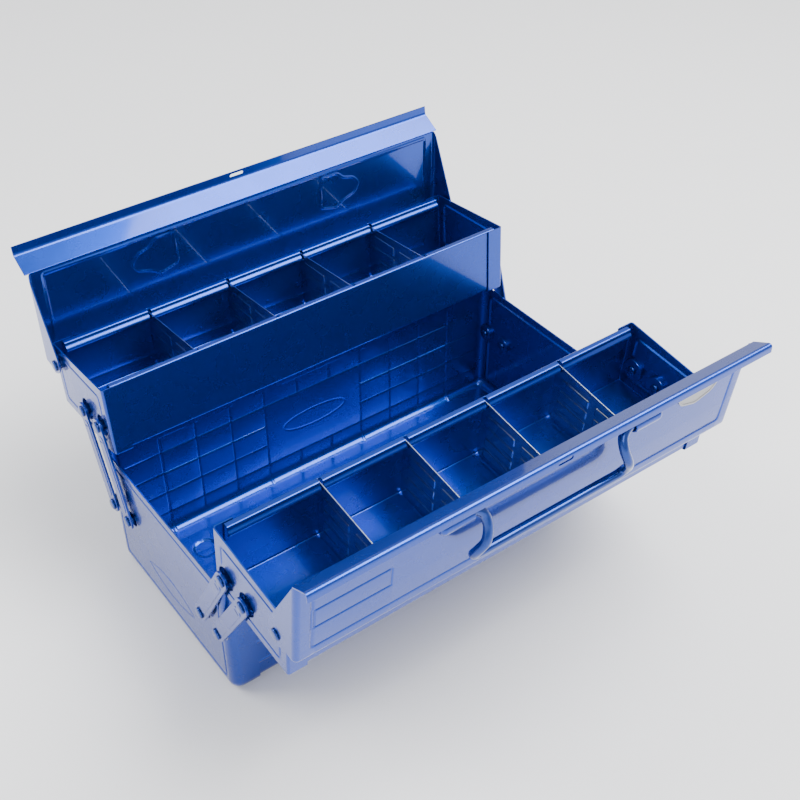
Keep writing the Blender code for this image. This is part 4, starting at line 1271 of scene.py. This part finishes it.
class TOOLBOX_OT_lids(bpy.types.Operator):
    """The two pressed lids with their borders, bracket seats, lips and padlock slots"""
    bl_idname = "toolbox.lids"
    bl_label = "Lids"

    def execute(self, context):
        scene = context.scene
        sheet, lid = scene.toolbox_sheet, scene.toolbox_lid
        width = sheet.bead_width
        for side in SIDES:
            shape = lid_surface(scene)
            border_x, low_reach, high_reach = 168.5 * MM, 1.5 * MM, 65.0 * MM
            cuts_x = bead_cuts(width, border_x, -border_x)
            cuts_y = bead_cuts(width, -low_reach, -high_reach)
            seats = []
            label = None
            if side == "rear":
                right = closed_rounded(SEAT_OUTLINE, 3.0 * MM)
                seats = [right, [(-x, reach) for x, reach in right]]
                cuts_x += span(-103.5 * MM, -63 * MM, 0.7 * MM) + span(63 * MM, 103.5 * MM, 0.7 * MM)
                cuts_y += span(-62.6 * MM, -28.6 * MM, 0.7 * MM)
            else:
                label = (113.0 * MM, 166.5 * MM, 20.0 * MM, 36.0 * MM)
                cuts_x += bead_cuts(width, *label[:2])
                cuts_y += bead_cuts(width, -label[2], -label[3])
            panel = lid.panel_rise - 0.02 * MM
            cut_across(shape, 0, cuts_x, lambda c: c.z > panel and c.y > -lid.fold_reach)
            cut_across(shape, 1, cuts_y, lambda c: c.z > panel and c.y > -lid.fold_reach)

            def relief(place, normal):
                if normal.z < 0.999 or abs(place.z - lid.panel_rise) > 0.05 * MM:
                    return 0.0
                x, reach = place.x, -place.y
                away = inside_box(x, reach, -border_x, border_x, low_reach, high_reach, 3 * MM)
                raised = bead(away, width)
                if label is not None:
                    low_x, high_x, low_r, high_r = label
                    raised = max(raised, bead(inside_box(x, reach, low_x, high_x, low_r, high_r), width))
                for seat in seats:
                    if 60 * MM < abs(x) < 106 * MM and x * seat[0][0] > 0 and 26 * MM < reach < 65 * MM:
                        raised = max(raised, 0.6 * bead(loop_distance(x, reach, seat), 2.0 * MM))
                return -sheet.bead_height * raised

            press(shape, relief)
            holes = bmesh.new()
            for end in (-1, 1):
                bmesh.ops.create_cone(
                    holes, cap_ends=True, segments=32, radius1=lid.hole_radius,
                    radius2=lid.hole_radius, depth=8 * MM,
                    matrix=Matrix.Translation((end * lid.half_length, 0, 0))
                    @ Matrix.Rotation(math.pi / 2, 4, "Y"))
            slot_rise = LIP_PATHS[side][1][1]
            slot_half = lid.slot_length / 2 - lid.slot_width / 2
            ring = (arc((slot_half, -SLOT_REACH[side]), lid.slot_width / 2, -90, 90, 8)
                    + arc((-slot_half, -SLOT_REACH[side]), lid.slot_width / 2, 90, 270, 8))
            slot = plate(ring, slot_rise - 1.4 * MM, 4.4 * MM)
            made_piece(
                side + "_lid_pressing", shape, lid_matrix(scene, side), body_paint(scene),
                side + "_lid_body", [side + "_lid"],
                steps=[("UNION", folded_lip(lid, sheet, LIP_PATHS[side])), ("DIFFERENCE", holes),
                       ("DIFFERENCE", slot)],
                thickness=sheet.sheet, edge_round=sheet.edge_round)
        return {"FINISHED"}


# ---------------------------------------------------------------- handles, brackets, badge

class TOOLBOX_OT_brackets(bpy.types.Operator):
    """Handle sleeves wrapped on round-ended tabs, each with a weld dimple"""
    bl_idname = "toolbox.brackets"
    bl_label = "Handle brackets"

    def execute(self, context):
        scene = context.scene
        handle, lid = scene.toolbox_handle, scene.toolbox_lid
        low = lid.panel_rise + 0.3 * MM
        half = handle.plate_width / 2
        for side in SIDES:
            for word, end in ends(side):
                tab = 0.8 * half
                outline = [(handle.sleeve_inner, half + 1 * MM), (handle.sleeve_inner, -half - 1 * MM),
                           (handle.sleeve_outer - 2 * MM, -half - 1 * MM),
                           (handle.sleeve_outer + 3 * MM, -tab)]
                outline += arc((handle.tab_end - tab, 0.0), tab, -90.0, 90.0, 14)
                outline += [(handle.sleeve_outer + 3 * MM, tab),
                            (handle.sleeve_outer - 2 * MM, half + 1 * MM)]
                shape = plate([(x, y - handle.reach) for x, y in outline], low, handle.plate)
                top_edges = [e for e in shape.edges if all(v.co.z > low + 0.5 * MM for v in e.verts)]
                bevel(shape, top_edges, 0.4 * MM, 3)
                r = handle.sleeve_radius
                barrel = turned_x([
                    (handle.sleeve_inner, 0.0), (handle.sleeve_inner, r - 0.5 * MM),
                    (handle.sleeve_inner + 0.5 * MM, r)]
                    + [(handle.sleeve_outer - 4 * MM + 4 * MM * math.sin(t), r * math.cos(t) ** 0.7)
                       for t in [math.pi / 2 * k / 8 for k in range(8)]]
                    + [(handle.sleeve_outer, 0.0)], 40)
                bmesh.ops.translate(barrel, vec=(0, -handle.reach, handle.rise), verts=barrel.verts)
                cheek = moved_box(
                    (handle.sleeve_inner + 0.4 * MM, -handle.reach - r + 0.5 * MM, low + 0.3 * MM),
                    (handle.sleeve_outer - 4 * MM, -handle.reach + r - 0.5 * MM, handle.rise),
                    0.2 * MM, 1)
                bore = turned_x([
                    (handle.sleeve_inner - 2 * MM, 0.0), (handle.sleeve_inner - 2 * MM, handle.sleeve_bore),
                    (handle.rod_end + 1 * MM, handle.sleeve_bore), (handle.rod_end + 1 * MM, 0.0)], 40)
                bmesh.ops.translate(bore, vec=(0, -handle.reach, handle.rise), verts=bore.verts)
                dimple = bmesh.new()
                bmesh.ops.create_uvsphere(
                    dimple, u_segments=24, v_segments=16, radius=3.0 * MM,
                    matrix=Matrix.Translation((handle.tab_end - 6.5 * MM, -handle.reach,
                                               low + handle.plate + 2.5 * MM)))
                steps = [("UNION", cheek), ("UNION", barrel), ("DIFFERENCE", bore),
                         ("DIFFERENCE", dimple)]
                flip_for(end, shape, steps)
                made_piece(
                    "%s_handle_sleeve_%s" % (side, word), shape, lid_matrix(scene, side),
                    body_paint(scene), side + "_lid_body",
                    ["%s_handle_bracket_%s" % (side, word)], steps=steps)
        return {"FINISHED"}


def smooth_points(points, steps):
    """Catmull-Rom points through a list of control points."""
    vectors = [Vector(point) for point in points]
    padded = [2 * vectors[0] - vectors[1]] + vectors + [2 * vectors[-1] - vectors[-2]]
    result = []
    for k in range(1, len(padded) - 2):
        a, b, c, d = padded[k - 1:k + 3]
        for step in range(steps):
            t = step / steps
            result.append(0.5 * ((2 * b) + (c - a) * t + (2 * a - 5 * b + 4 * c - d) * t * t
                                 + (3 * b - a - 3 * c + d) * t ** 3))
    result.append(vectors[-1])
    return result


class TOOLBOX_OT_handles(bpy.types.Operator):
    """The two bent carrying handles"""
    bl_idname = "toolbox.handles"
    bl_label = "Handles"

    def execute(self, context):
        scene = context.scene
        handle = scene.toolbox_handle
        bends = smooth_points([(x, out, -down) for x, out, down in HANDLE_HALF[1:]], 8)
        route = [Vector((-p.x, p.y, p.z)) for p in reversed(bends)] + bends
        for side in SIDES:
            curve = bpy.data.curves.new("rod", "CURVE")
            curve.dimensions = "3D"
            curve.bevel_depth = handle.rod_radius
            curve.bevel_resolution = 6
            curve.use_fill_caps = True
            spline = curve.splines.new("POLY")
            spline.points.add(len(route) - 1)
            for point, place in zip(spline.points, route):
                point.co = (*place, 1.0)
            rod = bpy.data.objects.new("rod", curve)
            context.scene.collection.objects.link(rod)
            context.view_layer.update()
            graph = context.evaluated_depsgraph_get()
            mesh = bpy.data.meshes.new_from_object(rod.evaluated_get(graph), depsgraph=graph)
            bpy.data.objects.remove(rod, do_unlink=True)
            bpy.data.curves.remove(curve)
            shape = bmesh.new()
            shape.from_mesh(mesh)
            bpy.data.meshes.remove(mesh)
            bmesh.ops.remove_doubles(shape, verts=shape.verts, dist=1e-6)
            bmesh.ops.recalc_face_normals(shape, faces=shape.faces)
            place = joint_place(side + "_handle_swing")
            matrix = side_matrix(side) @ Matrix.Translation((0, place.x, place.y))
            made_piece(
                side + "_handle_rod", shape, matrix, deep_paint(scene), side + "_handle_body",
                [side + "_handle"], sharp=50.0)
        return {"FINISHED"}


class TOOLBOX_OT_badge(bpy.types.Operator):
    """A plain shield plate with a raised rim"""
    bl_idname = "toolbox.badge"
    bl_label = "Badge"

    def execute(self, context):
        scene = context.scene
        handle, lid = scene.toolbox_handle, scene.toolbox_lid
        wide, tall = handle.badge_length, handle.badge_width
        outline = [(-0.42 * wide, 0.5 * tall), (-0.5 * wide, 0.12 * tall),
                   (-0.36 * wide, -0.28 * tall), (0.0, -0.5 * tall), (0.36 * wide, -0.28 * tall),
                   (0.5 * wide, 0.12 * tall), (0.42 * wide, 0.5 * tall)]
        outline = closed_rounded(outline, 3.0 * MM, 5)
        low = lid.panel_rise + 0.3 * MM
        shape = plate(
            [(-handle.badge_x - x, -handle.badge_reach - y) for x, y in outline], low,
            handle.badge_thickness)
        top = max(shape.faces, key=lambda face: face.calc_center_median().z)
        bmesh.ops.inset_region(shape, faces=[top], thickness=0.25 * MM, depth=0.0)
        bmesh.ops.inset_region(shape, faces=[top], thickness=1.1 * MM, depth=0.0)
        bmesh.ops.inset_region(shape, faces=[top], thickness=0.3 * MM, depth=-0.35 * MM)
        made_piece(
            "front_lid_shield", shape, lid_matrix(scene, "front"),
            finish("satin_silver", satin_silver, scene.toolbox_colours.silver), "front_lid_body",
            ["front_lid_badge"], sharp=30.0)
        return {"FINISHED"}


# ---------------------------------------------------------------- stage

def soft_light(scene, name, place, target, width, height, power):
    """A rectangular studio lamp aimed at a point."""
    lamp = bpy.data.lights.new(name, "AREA")
    lamp.shape = "RECTANGLE"
    lamp.size = width
    lamp.size_y = height
    lamp.energy = power
    item = bpy.data.objects.new(name, lamp)
    item.location = place
    item.rotation_euler = (Vector(target) - Vector(place)).to_track_quat("-Z", "Y").to_euler()
    scene.collection.objects.link(item)


class TOOLBOX_OT_stage(bpy.types.Operator):
    """Pale floor, soft studio light and the camera"""
    bl_idname = "toolbox.stage"
    bl_label = "Stage"

    def execute(self, context):
        scene = context.scene
        floor_shape = bmesh.new()
        bmesh.ops.create_grid(
            floor_shape, x_segments=4, y_segments=4, size=6.0,
            matrix=Matrix.Translation((0, 0, CAD_BOX[0][2])))
        mesh = bpy.data.meshes.new("studio_floor")
        floor_shape.to_mesh(mesh)
        floor_shape.free()
        mesh.materials.append(studio_floor("studio_floor", scene.toolbox_colours.floor))
        floor = bpy.data.objects.new("studio_floor", mesh)
        scene.collection.objects.link(floor)

        world = bpy.data.worlds.new("studio")
        world.use_nodes = True
        world.node_tree.nodes["Background"].inputs["Color"].default_value = (0.93, 0.95, 1.0, 1.0)
        world.node_tree.nodes["Background"].inputs["Strength"].default_value = 0.95
        scene.world = world
        middle = (0.0, 0.0, 0.1)
        soft_light(scene, "overhead", (0.7, -0.45, 1.6), middle, 1.5, 1.2, 70.0)
        soft_light(scene, "back_left", (-1.4, 1.3, 1.5), middle, 1.2, 1.0, 40.0)
        soft_light(scene, "front_left", (-1.1, -1.5, 1.1), middle, 1.0, 1.0, 12.0)

        turn, lift = math.radians(-36.42), math.radians(39.77)
        back = Vector((math.sin(turn) * math.cos(lift), -math.cos(turn) * math.cos(lift),
                       math.sin(lift)))
        right = Vector((math.cos(turn), math.sin(turn), 0.0))
        up = back.cross(right)
        camera = bpy.data.cameras.new("camera")
        camera.sensor_width = 36.0
        camera.lens = 55.37
        camera.clip_start = 0.01
        item = bpy.data.objects.new("camera", camera)
        place = Vector((0, 0, 0.1)) + 0.02042 * right + 0.01582 * up + 0.91234 * back
        axes = Matrix((right, up, back)).transposed().to_4x4()
        item.matrix_world = Matrix.Translation(place) @ axes
        scene.collection.objects.link(item)
        scene.camera = item
        return {"FINISHED"}


STEPS = (
    TOOLBOX_OT_base_tub, TOOLBOX_OT_base_ends, TOOLBOX_OT_tray_troughs, TOOLBOX_OT_tray_ends,
    TOOLBOX_OT_dividers, TOOLBOX_OT_links, TOOLBOX_OT_rivets, TOOLBOX_OT_lids,
    TOOLBOX_OT_brackets, TOOLBOX_OT_handles, TOOLBOX_OT_badge, TOOLBOX_OT_stage,
)


class TOOLBOX_PT_pieces(bpy.types.Panel):
    """Lists the toolbox's pieces in the sidebar"""
    bl_idname = "TOOLBOX_PT_pieces"
    bl_label = "Toolbox"
    bl_space_type = "VIEW_3D"
    bl_region_type = "UI"
    bl_category = "Toolbox"

    def draw(self, context):
        for step in STEPS:
            self.layout.operator(step.bl_idname)
        for group, kind in GROUPS.items():
            box = self.layout.box()
            for name in kind.__annotations__:
                label = name.replace("_", " ").capitalize()
                box.prop(getattr(context.scene, group), name, text=label)


def register():
    """Add the classes, and the sizes on the scene."""
    for kind in (*GROUPS.values(), *STEPS, TOOLBOX_PT_pieces):
        bpy.utils.register_class(kind)
    for group, kind in GROUPS.items():
        setattr(bpy.types.Scene, group, PointerProperty(type=kind))


def unregister():
    """Take the classes and the sizes away again."""
    for group in GROUPS:
        delattr(bpy.types.Scene, group)
    for kind in reversed((*GROUPS.values(), *STEPS, TOOLBOX_PT_pieces)):
        bpy.utils.unregister_class(kind)


def main():
    """Register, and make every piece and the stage."""
    register()
    for step in STEPS:
        area, name = step.bl_idname.split(".")
        getattr(getattr(bpy.ops, area), name)()


if __name__ == "__main__":
    main()
